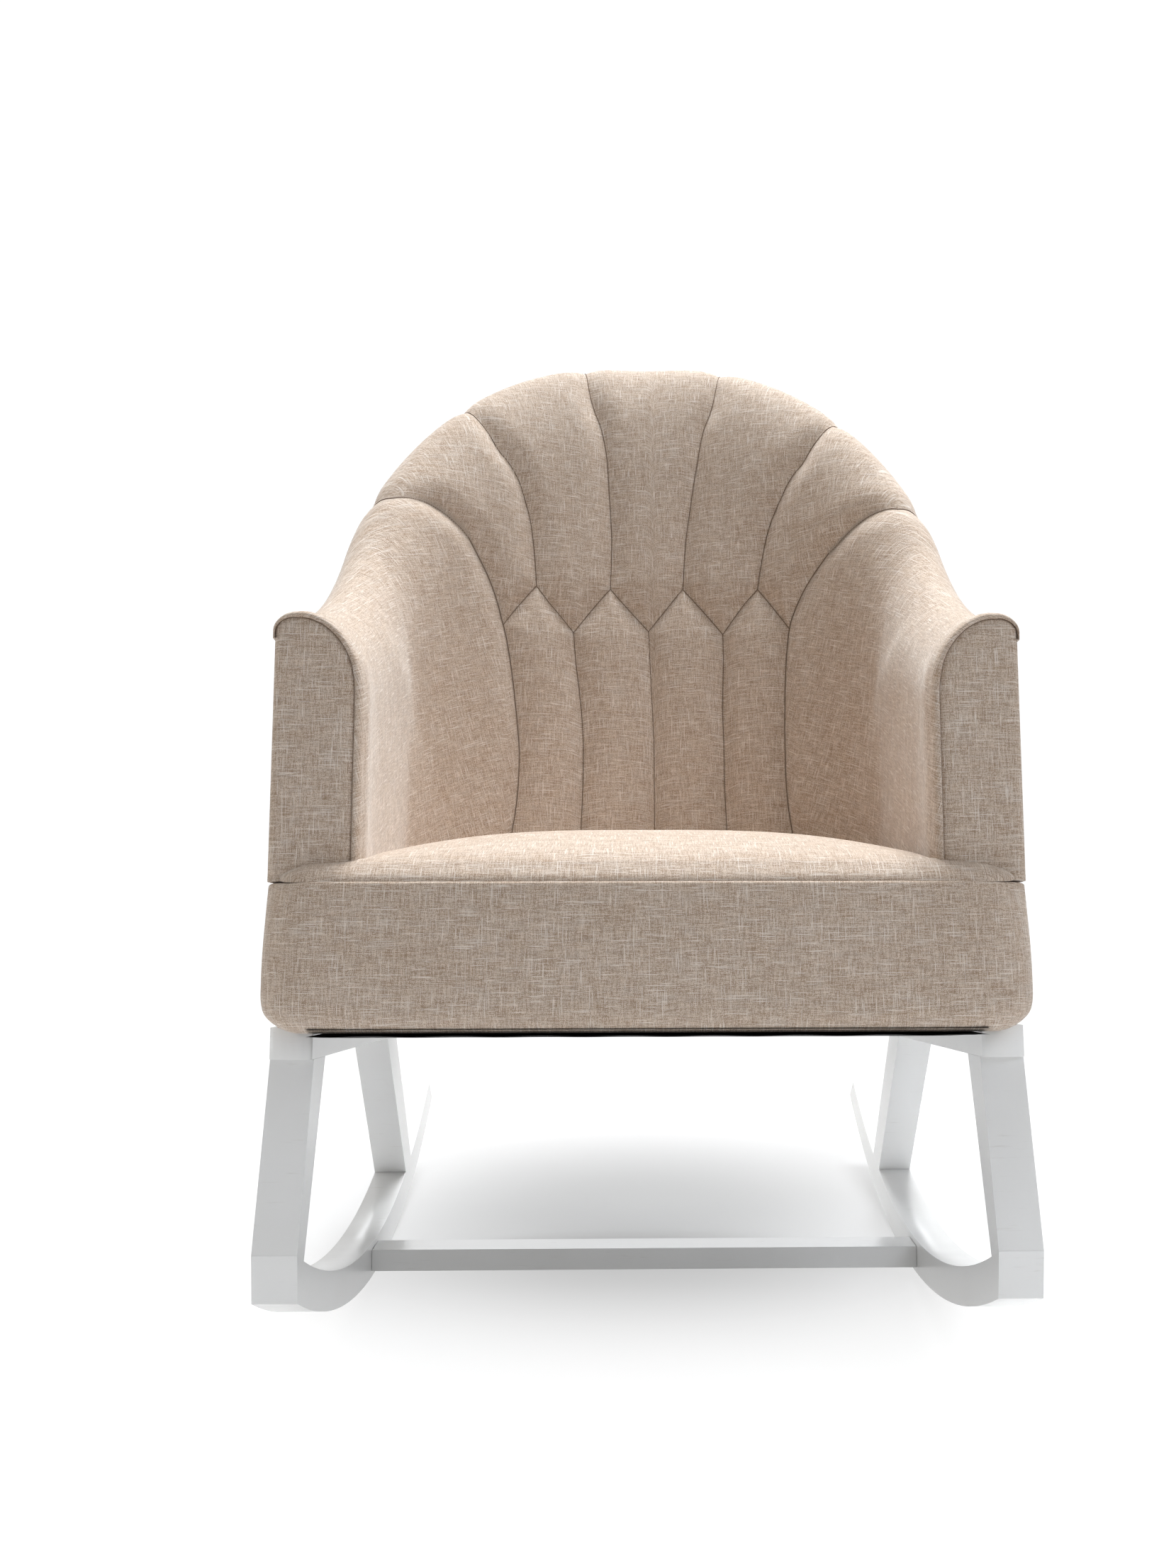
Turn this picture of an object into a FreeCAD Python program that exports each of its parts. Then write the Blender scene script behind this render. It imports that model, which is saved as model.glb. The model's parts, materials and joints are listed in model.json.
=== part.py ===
import FreeCAD, Part
import math
import os
import Sketcher
from FreeCAD import Placement, Rotation, Vector

# A nursery rocking chair: a deep round-backed tub, upholstered in woven fabric, on two flat side frames.
# Each side frame is a seat rail, two raked legs and a curved rocker. One stretcher ties the rockers.
#
# Everything is drawn level, with the lowest point of the rockers' arc at the origin: X across the chair,
# +Y to the back, +Z up. At the end the whole chair is rolled back on its rockers until its centre of
# mass is over the floor contact, which is how it stands when nobody sits in it.

doc = FreeCAD.newDocument("rocking_chair")
sheet = doc.addObject("Spreadsheet::Sheet", "sizes")

SIZES = [
    # side frames
    ("rocker_radius", 842, "radius of the rockers' running face"),
    ("rocker_depth", 33, "thickness of a rocker, measured along the radius"),
    ("rocker_tip_reach", 289, "tip of the rocker ahead of the arc's lowest point"),
    ("rocker_tail_reach", 438, "tail of the rocker behind the arc's lowest point"),
    ("tip_rake", 6, "how far the running face stops short of the tip"),
    ("tail_rake", 30, "how far the running face goes on past the tail's top edge"),
    ("frame_inset", 8, "side frames in from the seat's sides"),
    ("frame_width", 36, "thickness of the side frames' timber"),
    ("rail_underside", 235.5, "height of the seat rails' lower face"),
    ("rail_height", 26, "height of a seat rail"),
    ("rail_front", 258, "front end of a seat rail ahead of the arc's lowest point"),
    ("rail_back", 192, "back end of a seat rail behind the arc's lowest point"),
    ("rail_nose_radius", 40, "rounding of the seat rail's front end"),
    ("rail_nose_offset", 14, "foremost point of the nose, out from the rail's inner face"),
    ("front_leg_top_front", 249, "front edge of the front leg, under the rail"),
    ("front_leg_top_width", 44, "width of the front leg under the rail"),
    ("front_leg_foot_width", 24, "width of the front leg on the rocker"),
    ("back_leg_top_front", 109, "front edge of the back leg, under the rail"),
    ("back_leg_top_width", 58, "width of the back leg under the rail"),
    ("back_leg_foot_front", 256.5, "front edge of the back leg, on the rocker"),
    ("back_leg_foot_width", 36.5, "width of the back leg on the rocker"),
    ("stretcher_width", 37, "front to back width of the stretcher"),
    ("stretcher_height", 21, "height of the stretcher"),
    ("stretcher_angle", 4.3, "degrees round the arc from its lowest point back to the stretcher"),
    ("glue_line", 0.1, "clearance in a glued joint"),
    ("fit_gap", 0.3, "clearance between neighbouring pieces"),
    # dowels and bolts
    ("dowel_bore", 8, "diameter of the dowels"),
    ("dowel_length", 30, "length of a dowel, half in each piece"),
    ("dowel_spacing", 18, "distance between the two dowels of a joint"),
    ("foot_dowel_setback", 3, "front leg's lower dowels behind the middle of its foot"),
    ("bolt_bore", 8, "diameter of the seat bolts' shank"),
    ("bolt_grip", 50, "length of a seat bolt under its head"),
    ("bolt_head_width", 13, "diameter of a bolt head"),
    ("bolt_head_height", 8, "height of a bolt head"),
    ("bolt_key_width", 6, "width across the flats of the hexagon socket"),
    ("washer_width", 17, "diameter of a washer"),
    ("washer_depth", 1.6, "thickness of a washer"),
    ("bolt_row_front", 185, "first seat bolt ahead of the arc's lowest point"),
    ("bolt_row_margin", 21, "last seat bolt ahead of the back end of the seat frame's side rails"),
    # seat platform
    ("seat_half_width", 320, "half width of the seat over its padding"),
    ("seat_front", 293, "front of the seat ahead of the arc's lowest point"),
    ("seat_corner_radius", 45, "rounding of the seat's front corners in plan"),
    ("bend_start", 20, "where the straight sides turn into the round back"),
    ("border_depth", 14, "padding round the seat frame"),
    ("border_top", 380, "height of the seat's top seam"),
    ("border_edge_share", 0.85, "rounding of the border's lower edge, as a share of its depth"),
    ("border_joint", 205, "joint between front and side borders ahead of the arc's lowest point"),
    ("seat_timber", 36, "thickness of the seat frame's side and back rails"),
    ("front_timber", 24, "thickness of the seat frame's front and cross rails"),
    ("seat_timber_height", 92, "height of the seat frame's rails"),
    ("cross_rail_height", 70, "height of the cross rail inside the seat frame"),
    ("corner_block_leg", 60, "leg of the triangular corner blocks"),
    ("webbing_width", 60, "width of a webbing strap"),
    ("webbing_depth", 2, "thickness of a webbing strap"),
    ("webbing_pitch", 104, "distance between webbing straps"),
    ("webbing_bearing", 12, "how far a strap is stapled over a rail"),
    ("deck_depth", 2, "thickness of the deck cloth"),
    ("dust_cover_depth", 3, "thickness of the dust cover at its folded hem"),
    ("dust_cover_inset", 6, "dust cover behind the seat's front face"),
    ("crown_height", 438, "highest point of the seat's crown"),
    ("crown_back_height", 424, "height of the seat where it meets the back"),
    ("crown_place", 70, "crown's highest point ahead of the arc's lowest point"),
    ("crown_side_fall", 22, "how far the crown falls from the middle to the arms"),
    ("front_roll", 22, "height of the rounded front edge over the seam"),
    ("lip_inset", 2, "seat's front lip behind the face of the border under it"),
    # tub
    ("tub_step", 2, "how far the seat stands out beyond the tub's sides"),
    ("tub_back_reach", 242, "outside of the back behind the arc's lowest point, at lean_height"),
    ("tub_wall", 67, "thickness of the padded wall"),
    ("arm_front", 265, "front of the arms ahead of the arc's lowest point"),
    ("arm_height", 610, "height of the arms at the front"),
    ("back_height", 1079, "height of the back"),
    ("rim_full_share", 0.95, "share of the way from arm front to back centre where the rim is full height"),
    ("rim_sag", 20, "how far the rim hangs under an even S on its climb from arm to back"),
    ("rim_sag_place", 0.755, "power that moves the sag towards the arms, 1 for none"),
    ("back_lean", 9, "lean of the back in degrees"),
    ("lean_height", 440, "height at which the back's reach is measured"),
    ("rim_round_width", 55, "how far in the rim's rounding on the sitter's side reaches"),
    ("rim_round_height", 64, "how far down the rim's rounding on the sitter's side reaches"),
    ("rim_outer_round", 10, "rounding of the rim on the outside"),
    ("channel_share", 0.137, "width of a channel, the way from the back's middle to an arm's front being 1"),
    ("zigzag_dip", 712, "height of the low points of the zigzag seam across the back"),
    ("zigzag_peak", 762, "height of the high points of the zigzag seam"),
    ("seam_depth", 7, "how deep a seam draws the padding in"),
    ("seam_half_width", 19, "how far to each side the padding falls towards a seam"),
    ("rim_cap", 14, "padding over the top of the boards and the shell"),
    ("outer_panel_depth", 12, "outside panel with its padding"),
    ("shell_depth", 12, "thickness of the arm boards and of the bent back shell"),
    ("front_panel_depth", 14, "thickness of the padded panel on an arm's front"),
    ("arm_post_width", 40, "front to back width of an arm post"),
    # weight classes in kg/m3, for the balance
    ("timber_density", 600, "wooden pieces"),
    ("soft_density", 300, "padded and textile pieces"),
    ("steel_density", 7850, "bolts and washers"),
]

for row, (alias, value, meaning) in enumerate(SIZES, start=1):
    sheet.set("A%d" % row, alias)
    sheet.set("B%d" % row, str(value))
    sheet.set("C%d" % row, meaning)
    sheet.setAlias("B%d" % row, alias)
doc.recompute()


def size(alias):
    return float(sheet.get(alias))


class Term:
    """A length that knows its number and the sheet formula that it comes from."""

    def __init__(self, value, text):
        self.value = value
        self.text = text

    def __add__(self, other):
        return combine(self, other, "+", self.value + number(other))

    def __sub__(self, other):
        return combine(self, other, "-", self.value - number(other))

    def __mul__(self, other):
        return combine(self, other, "*", self.value * number(other))

    def __truediv__(self, other):
        return combine(self, other, "/", self.value / number(other))

    def __neg__(self):
        return Term(-self.value, "(-%s)" % self.text)


def number(term):
    return term.value if isinstance(term, Term) else float(term)


def formula(term):
    return term.text if isinstance(term, Term) else "(%s)" % repr(float(term))


def combine(first, second, sign, value):
    return Term(value, "(%s %s %s)" % (formula(first), sign, formula(second)))


def cell(alias):
    return Term(size(alias), "sizes." + alias)


WOOD, SOFT, STEEL = "timber_density", "soft_density", "steel_density"
SIDES = (("left", -1), ("right", 1))
nodes = []          # (object, own placement, weight class), in the order of assembly


def keep(obj, label, weight, own=Placement()):
    """Register a finished sub-part under its own name."""
    obj.Label = label
    nodes.append((obj, own, weight))
    return obj


# ------------------------------------------------------------------ sketches and bodies

def new_body(name):
    return doc.addObject("PartDesign::Body", name)


def new_sketch(body, role, name, offset=Placement()):
    sketch = body.newObject("Sketcher::SketchObject", name)
    plane = [feature for feature in body.Origin.OriginFeatures if feature.Role == role][0]
    sketch.AttachmentSupport = [(plane, "")]
    sketch.MapMode = "FlatFace"
    sketch.AttachmentOffset = offset
    return sketch


def pin(sketch, geometry, end, across=None, up=None):
    """Fix one point of a line or an arc by expressions for its coordinates."""
    for kind, term in (("DistanceX", across), ("DistanceY", up)):
        if term is not None:
            index = sketch.addConstraint(Sketcher.Constraint(kind, -1, 1, geometry, end, number(term)))
            sketch.setExpression("Constraints[%d]" % index, formula(term))


def set_radius(sketch, geometry, radius):
    index = sketch.addConstraint(Sketcher.Constraint("Radius", geometry, number(radius)))
    sketch.setExpression("Constraints[%d]" % index, formula(radius))


def point(across, up):
    return Vector(number(across), number(up), 0)


def draw_chain(sketch, corners):
    """A closed chain of straight edges, each corner pinned by its two expressions."""
    lines = []
    for start, end in zip(corners, corners[1:] + corners[:1]):
        lines.append(sketch.addGeometry(Part.LineSegment(point(*start), point(*end)), False))
    for before, after in zip(lines, lines[1:] + lines[:1]):
        sketch.addConstraint(Sketcher.Constraint("Coincident", before, 2, after, 1))
    for line, corner in zip(lines, corners):
        pin(sketch, line, 1, *corner)


def draw_arc(sketch, centre, radius, start, end):
    """A circular arc, anticlockwise from start to end, free at its ends along the circle."""
    middle = point(*centre)
    angles = [math.atan2(p.y - middle.y, p.x - middle.x) for p in (start, end)]
    circle = Part.Circle(middle, Vector(0, 0, 1), number(radius))
    arc = sketch.addGeometry(Part.ArcOfCircle(circle, angles[0], angles[1]), False)
    if number(centre[0]) == 0:
        sketch.addConstraint(Sketcher.Constraint("PointOnObject", arc, 3, -2))
        pin(sketch, arc, 3, None, centre[1])
    else:
        pin(sketch, arc, 3, *centre)
    set_radius(sketch, arc, radius)
    return arc


def pad(body, sketch, length, reversed_=False, symmetric=False):
    feature = body.newObject("PartDesign::Pad", body.Name + "_pad")
    feature.Profile = sketch
    feature.Length = number(length)
    feature.setExpression("Length", formula(length))
    feature.Reversed = reversed_
    feature.SideType = "Symmetric" if symmetric else "One side"
    sketch.Visibility = False
    doc.recompute()
    return feature


def pocket(body, sketch, depth, reversed_=False, symmetric=False):
    """Cut a sketch into the body, and make sure that it did cut."""
    doc.recompute()
    before = body.Shape.Volume
    feature = body.newObject("PartDesign::Pocket", sketch.Name + "_pocket")
    feature.Profile = sketch
    feature.Length = number(depth)
    feature.setExpression("Length", formula(depth))
    feature.Reversed = reversed_
    feature.SideType = "Symmetric" if symmetric else "One side"
    doc.recompute()
    if body.Shape.Volume >= before - 1.0:
        raise RuntimeError("%s cut nothing" % feature.Name)
    return feature


def draw_holes(sketch, centres, diameter):
    for across, up in centres:
        circle = Part.Circle(point(across, up), Vector(0, 0, 1), number(diameter) / 2)
        hole = sketch.addGeometry(circle, False)
        if number(up) == 0:
            sketch.addConstraint(Sketcher.Constraint("PointOnObject", hole, 3, -1))
            pin(sketch, hole, 3, across, None)
        else:
            pin(sketch, hole, 3, across, up)
        set_radius(sketch, hole, diameter / 2)


# ------------------------------------------------------------------ side frames

arc_centre = (Term(0.0, "0"), cell("rocker_radius"))
rocker_top_radius = cell("rocker_radius") - cell("rocker_depth")
frame_inner = cell("seat_half_width") - cell("frame_inset") - cell("frame_width")
frame_middle = frame_inner + cell("frame_width") / 2
half_dowel = cell("dowel_length") / 2
rail_underside = cell("rail_underside")


def round_the_arc(degrees, radius):
    """A frame on the rockers' arc, its Z pointing at the arc's centre."""
    turn = Rotation(Vector(1, 0, 0), degrees)
    return Placement(Vector(0, 0, size("rocker_radius")) + turn.multVec(Vector(0, 0, -radius)), turn)


def arc_degrees(reach):
    """The angle round the arc, at the rockers' top face, of a point this far behind the lowest one."""
    return math.degrees(math.asin(reach / number(rocker_top_radius)))


front_foot_middle = -size("rocker_tip_reach") + size("front_leg_foot_width") / 2
front_foot = arc_degrees(front_foot_middle + size("foot_dowel_setback"))
back_foot = arc_degrees(size("back_leg_foot_front") + size("back_leg_foot_width") / 2)
FOOT_JOINTS = {"front": round_the_arc(front_foot, number(rocker_top_radius)),
               "back": round_the_arc(back_foot, number(rocker_top_radius))}
HEAD_JOINTS = {"front": -cell("front_leg_top_front") + cell("front_leg_top_width") / 2,
               "back": cell("back_leg_top_front") + cell("back_leg_top_width") / 2}


def dowel_places(side):
    return [frame_middle * side - cell("dowel_spacing") / 2, frame_middle * side + cell("dowel_spacing") / 2]


dowel_hole = cell("dowel_bore") + cell("glue_line") * 2
dowel_hole_depth = cell("dowel_length") + cell("glue_line") * 2


def bore_dowels(body, name, side, joint_place, along=0.0):
    """Bore the pair of dowel holes of one joint, square to the joint's face."""
    sketch = new_sketch(body, "XY_Plane", name, joint_place)
    draw_holes(sketch, [(place, along) for place in dowel_places(side)], dowel_hole)
    pocket(body, sketch, dowel_hole_depth, symmetric=True)


def bolt_places():
    """Three bolts in each side rail, evenly from the first to the last."""
    last = cell("bend_start") - cell("bolt_row_margin")
    first = -cell("bolt_row_front")
    return [first, (first + last) / 2, last]


def level_sketch(body, name, height):
    """A sketch on a level plane, its height taken from the sheet."""
    sketch = new_sketch(body, "XY_Plane", name, Placement(Vector(0, 0, number(height)), Rotation()))
    sketch.setExpression("AttachmentOffset.Base.z", formula(height))
    return sketch


def seat_rail(name, side):
    """The frame's top member, bolted up into the seat. Its front end is rounded like the seat's corner."""
    body = new_body(name + "_seat_rail")
    sketch = level_sketch(body, body.Name + "_plan", rail_underside)
    centre = ((frame_inner + cell("rail_nose_offset")) * side, -cell("rail_front") + cell("rail_nose_radius"))
    left, right = sorted((frame_inner * side, (frame_inner + cell("frame_width")) * side), key=number)
    ends = []
    for edge in (left, right):
        reach = math.sqrt(size("rail_nose_radius") ** 2 - (number(edge) - number(centre[0])) ** 2)
        ends.append(Vector(number(edge), number(centre[1]) - reach, 0))
    nose = draw_arc(sketch, centre, cell("rail_nose_radius"), ends[0], ends[1])
    back = cell("rail_back")
    right_line = sketch.addGeometry(Part.LineSegment(ends[1], point(right, back)), False)
    back_line = sketch.addGeometry(Part.LineSegment(point(right, back), point(left, back)), False)
    left_line = sketch.addGeometry(Part.LineSegment(point(left, back), ends[0]), False)
    for before, after in ((nose, right_line), (right_line, back_line), (back_line, left_line)):
        sketch.addConstraint(Sketcher.Constraint("Coincident", before, 2, after, 1))
    sketch.addConstraint(Sketcher.Constraint("Coincident", left_line, 2, nose, 1))
    sketch.addConstraint(Sketcher.Constraint("Vertical", right_line))
    sketch.addConstraint(Sketcher.Constraint("Vertical", left_line))
    pin(sketch, back_line, 1, right, back)
    pin(sketch, back_line, 2, left, back)
    pad(body, sketch, cell("rail_height"))
    level = Placement(Vector(0, 0, number(rail_underside)), Rotation())
    for joint, along in HEAD_JOINTS.items():
        bore_dowels(body, "%s_rail_%s_bores" % (name, joint), side, level, along)
    places = [(frame_middle * side, along) for along in bolt_places()]
    holes = new_sketch(body, "XY_Plane", name + "_rail_bolt_holes", level)
    draw_holes(holes, places, cell("bolt_bore") + cell("fit_gap") * 2)
    pocket(body, holes, cell("rail_height"), reversed_=True)
    sinks = new_sketch(body, "XY_Plane", name + "_rail_counterbores", level)
    draw_holes(sinks, places, cell("washer_width") + cell("fit_gap") * 2)
    pocket(body, sinks, cell("bolt_head_height") + cell("washer_depth"), reversed_=True)
    keep(body, name + "_seat_rail", WOOD)


def frame_pad(body, sketch, side):
    """Give a side-frame profile the thickness of the frame's timber, outwards from its inner face."""
    sketch.AttachmentOffset = Placement(Vector(0, 0, number(frame_inner) * side), Rotation())
    sketch.setExpression("AttachmentOffset.Base.z", formula(frame_inner * side))
    pad(body, sketch, cell("frame_width"), reversed_=side < 0)


def rocker(name, side):
    """The curved runner: a band between two arcs round one centre, with a steep tip and a raked tail."""
    body = new_body(name + "_rocker")
    sketch = new_sketch(body, "YZ_Plane", name + "_rocker_profile")
    tip_top = -cell("rocker_tip_reach")
    tip_bottom = tip_top + cell("tip_rake")
    tail_top = cell("rocker_tail_reach")
    tail_bottom = tail_top + cell("tail_rake")

    def on_arc(reach, radius):
        drop = math.sqrt(number(radius) ** 2 - number(reach) ** 2)
        return Vector(number(reach), size("rocker_radius") - drop, 0)

    lower_ends = [on_arc(tip_bottom, cell("rocker_radius")), on_arc(tail_bottom, cell("rocker_radius"))]
    upper_ends = [on_arc(tip_top, rocker_top_radius), on_arc(tail_top, rocker_top_radius)]
    lower = draw_arc(sketch, arc_centre, cell("rocker_radius"), *lower_ends)
    upper = draw_arc(sketch, arc_centre, rocker_top_radius, *upper_ends)
    tail = sketch.addGeometry(Part.LineSegment(lower_ends[1], upper_ends[1]), False)
    tip = sketch.addGeometry(Part.LineSegment(upper_ends[0], lower_ends[0]), False)
    sketch.addConstraint(Sketcher.Constraint("Coincident", lower, 2, tail, 1))
    sketch.addConstraint(Sketcher.Constraint("Coincident", tail, 2, upper, 2))
    sketch.addConstraint(Sketcher.Constraint("Coincident", upper, 1, tip, 1))
    sketch.addConstraint(Sketcher.Constraint("Coincident", tip, 2, lower, 1))
    pin(sketch, lower, 1, tip_bottom)
    pin(sketch, lower, 2, tail_bottom)
    pin(sketch, upper, 1, tip_top)
    pin(sketch, upper, 2, tail_top)
    frame_pad(body, sketch, side)
    for joint, place in FOOT_JOINTS.items():
        bore_dowels(body, "%s_rocker_%s_bores" % (name, joint), side, place)
    bore_stretcher_dowels(body, name, side)
    keep(body, name + "_rocker", WOOD)


def leg(name, side, end, head_front, head_width, foot_front, foot_width):
    """A raked leg: straight edges, a flat head under the rail, a foot cut to the rocker's curve."""
    body = new_body("%s_%s_leg" % (name, end))
    sketch = new_sketch(body, "YZ_Plane", body.Name + "_profile")
    foot_radius = rocker_top_radius - cell("glue_line")
    head_height = rail_underside - cell("glue_line")
    foot = []
    for reach in (number(foot_front), number(foot_front + foot_width)):
        drop = math.sqrt(number(foot_radius) ** 2 - reach ** 2)
        foot.append(Vector(reach, size("rocker_radius") - drop, 0))
    head = [(head_front, head_height), (head_front + head_width, head_height)]
    base = draw_arc(sketch, arc_centre, foot_radius, foot[0], foot[1])
    back = sketch.addGeometry(Part.LineSegment(foot[1], point(*head[1])), False)
    top = sketch.addGeometry(Part.LineSegment(point(*head[1]), point(*head[0])), False)
    front = sketch.addGeometry(Part.LineSegment(point(*head[0]), foot[0]), False)
    for before, after in ((base, back), (back, top), (top, front)):
        sketch.addConstraint(Sketcher.Constraint("Coincident", before, 2, after, 1))
    sketch.addConstraint(Sketcher.Constraint("Coincident", front, 2, base, 1))
    pin(sketch, base, 1, foot_front)
    pin(sketch, base, 2, foot_front + foot_width)
    pin(sketch, top, 1, *head[1])
    pin(sketch, top, 2, *head[0])
    frame_pad(body, sketch, side)
    level = Placement(Vector(0, 0, number(rail_underside)), Rotation())
    bore_dowels(body, body.Name + "_head_bores", side, level, HEAD_JOINTS[end])
    bore_dowels(body, body.Name + "_foot_bores", side, FOOT_JOINTS[end])
    keep(body, "%s_%s_leg" % (name, end), WOOD)


# ------------------------------------------------------------------ stretcher

stretcher_place = round_the_arc(size("stretcher_angle"), size("rocker_radius") - size("rocker_depth") / 2)


def bore_stretcher_dowels(body, name, side):
    """Two bores across the rocker's inner face, in line with the stretcher's section."""
    middle = stretcher_place.Base
    offset = Placement(Vector(middle.y, middle.z, number(frame_inner) * side),
                       Rotation(Vector(0, 0, 1), size("stretcher_angle")))
    sketch = new_sketch(body, "YZ_Plane", name + "_rocker_stretcher_bores", offset)
    half = cell("dowel_spacing") / 2
    draw_holes(sketch, [(-half, 0.0), (half, 0.0)], dowel_hole)
    pocket(body, sketch, dowel_hole_depth, symmetric=True)


def front_stretcher():
    """A flat rail between the rockers, just ahead of where they meet the floor."""
    body = new_body("front_stretcher")
    sketch = new_sketch(body, "YZ_Plane", "stretcher_section")
    half_width = cell("stretcher_width") / 2
    half_height = cell("stretcher_height") / 2
    draw_chain(sketch, [(-half_width, -half_height), (half_width, -half_height),
                        (half_width, half_height), (-half_width, half_height)])
    length = (frame_inner - cell("fit_gap")) * 2
    pad(body, sketch, length, symmetric=True)
    for name, side in SIDES:
        holes = new_sketch(body, "YZ_Plane", name + "_stretcher_end_bores",
                           Placement(Vector(0, 0, number(frame_inner) * side), Rotation()))
        half = cell("dowel_spacing") / 2
        draw_holes(holes, [(-half, 0.0), (half, 0.0)], dowel_hole)
        pocket(body, holes, dowel_hole_depth, symmetric=True)
    keep(body, "front_stretcher", WOOD, stretcher_place)


for name, side in SIDES:
    seat_rail(name, side)
    leg(name, side, "front", -cell("front_leg_top_front"), cell("front_leg_top_width"),
        -cell("rocker_tip_reach"), cell("front_leg_foot_width"))
    leg(name, side, "back", cell("back_leg_top_front"), cell("back_leg_top_width"),
        cell("back_leg_foot_front"), cell("back_leg_foot_width"))
    rocker(name, side)
front_stretcher()


# ------------------------------------------------------------------ dowels, bolts and washers

def group(name, children):
    compound = doc.addObject("Part::Compound", name)
    compound.Links = children
    return compound


def dowel(name, place):
    """A round pin centred on its joint."""
    pin_piece = doc.addObject("Part::Cylinder", name)
    pin_piece.setExpression("Radius", formula(cell("dowel_bore") / 2))
    pin_piece.setExpression("Height", formula(cell("dowel_length")))
    pin_piece.Placement = place.multiply(Placement(Vector(0, 0, -number(half_dowel)), Rotation()))
    return pin_piece


leg_dowels = []
for name, side in SIDES:
    for end in ("front", "back"):
        for which, across in enumerate(dowel_places(side)):
            shift = Placement(Vector(number(across), 0, 0), Rotation())
            head = Placement(Vector(0, number(HEAD_JOINTS[end]), number(rail_underside)), Rotation())
            foot = FOOT_JOINTS[end]
            leg_dowels.append(dowel("%s_%s_head_dowel%d" % (name, end, which), head.multiply(shift)))
            leg_dowels.append(dowel("%s_%s_foot_dowel%d" % (name, end, which), foot.multiply(shift)))
keep(group("leg_dowels", leg_dowels), "leg_dowels", WOOD)

stretcher_dowels = []
for name, side in SIDES:
    for which, along in enumerate((-size("dowel_spacing") / 2, size("dowel_spacing") / 2)):
        end_point = Placement(Vector(number(frame_inner) * side, along, 0), Rotation(Vector(0, 1, 0), 90))
        place = stretcher_place.multiply(end_point)
        stretcher_dowels.append(dowel("%s_stretcher_dowel%d" % (name, which), place))
keep(group("stretcher_dowels", stretcher_dowels), "stretcher_dowels", WOOD)


def seat_bolt(name, side, along):
    """A socket-head bolt, head down in the rail's counterbore, its washer above the head."""
    shank = doc.addObject("Part::Cylinder", name + "_shank")
    shank.setExpression("Radius", formula(cell("bolt_bore") / 2))
    shank.setExpression("Height", formula(cell("bolt_grip")))
    shank.Placement = Placement(Vector(0, 0, size("bolt_head_height")), Rotation())
    head = doc.addObject("Part::Cylinder", name + "_head")
    head.setExpression("Radius", formula(cell("bolt_head_width") / 2))
    head.setExpression("Height", formula(cell("bolt_head_height")))
    whole = doc.addObject("Part::Fuse", name + "_blank")
    whole.Base = shank
    whole.Tool = head
    socket = doc.addObject("Part::Prism", name + "_socket")
    socket.Polygon = 6
    socket.setExpression("Circumradius", formula(cell("bolt_key_width") / math.sqrt(3)))
    socket.setExpression("Height", formula(cell("bolt_head_height") / 2))
    bolt = doc.addObject("Part::Cut", name)
    bolt.Base = whole
    bolt.Tool = socket
    spot = Vector(number(frame_middle) * side, number(along), number(rail_underside))
    bolt.Placement = Placement(spot, Rotation())
    return bolt


def washer(name, side, along):
    disc = doc.addObject("Part::Cylinder", name + "_disc")
    disc.setExpression("Radius", formula(cell("washer_width") / 2))
    disc.setExpression("Height", formula(cell("washer_depth")))
    eye = doc.addObject("Part::Cylinder", name + "_eye")
    eye.setExpression("Radius", formula(cell("bolt_bore") / 2 + cell("fit_gap")))
    eye.setExpression("Height", formula(cell("washer_depth")))
    ring = doc.addObject("Part::Cut", name)
    ring.Base = disc
    ring.Tool = eye
    height = number(rail_underside) + size("bolt_head_height")
    ring.Placement = Placement(Vector(number(frame_middle) * side, number(along), height), Rotation())
    return ring


bolts = []
washers = []
for name, side in SIDES:
    for step, along in enumerate(bolt_places()):
        bolts.append(seat_bolt("%s_seat_bolt%d" % (name, step), side, along))
        washers.append(washer("%s_bolt_washer%d" % (name, step), side, along))
keep(group("seat_bolts", bolts), "seat_bolts", STEEL)
keep(group("bolt_washers", washers), "bolt_washers", STEEL)


# ------------------------------------------------------------------ seat frame

seat_timber_foot = rail_underside + cell("rail_height")
border_inner = cell("seat_half_width") - cell("border_depth")
frame_corner_radius = cell("seat_corner_radius") - cell("border_depth")
bend_start = size("bend_start")
lean = math.tan(math.radians(size("back_lean")))


def tub_reach(height):
    """Half length of the back's outer ellipse, measured from where the bend starts."""
    return size("tub_back_reach") - bend_start + (height - size("lean_height")) * lean


tub_half = size("seat_half_width") - size("tub_step")
seat_reach = tub_reach(size("border_top")) + size("tub_step")


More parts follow.
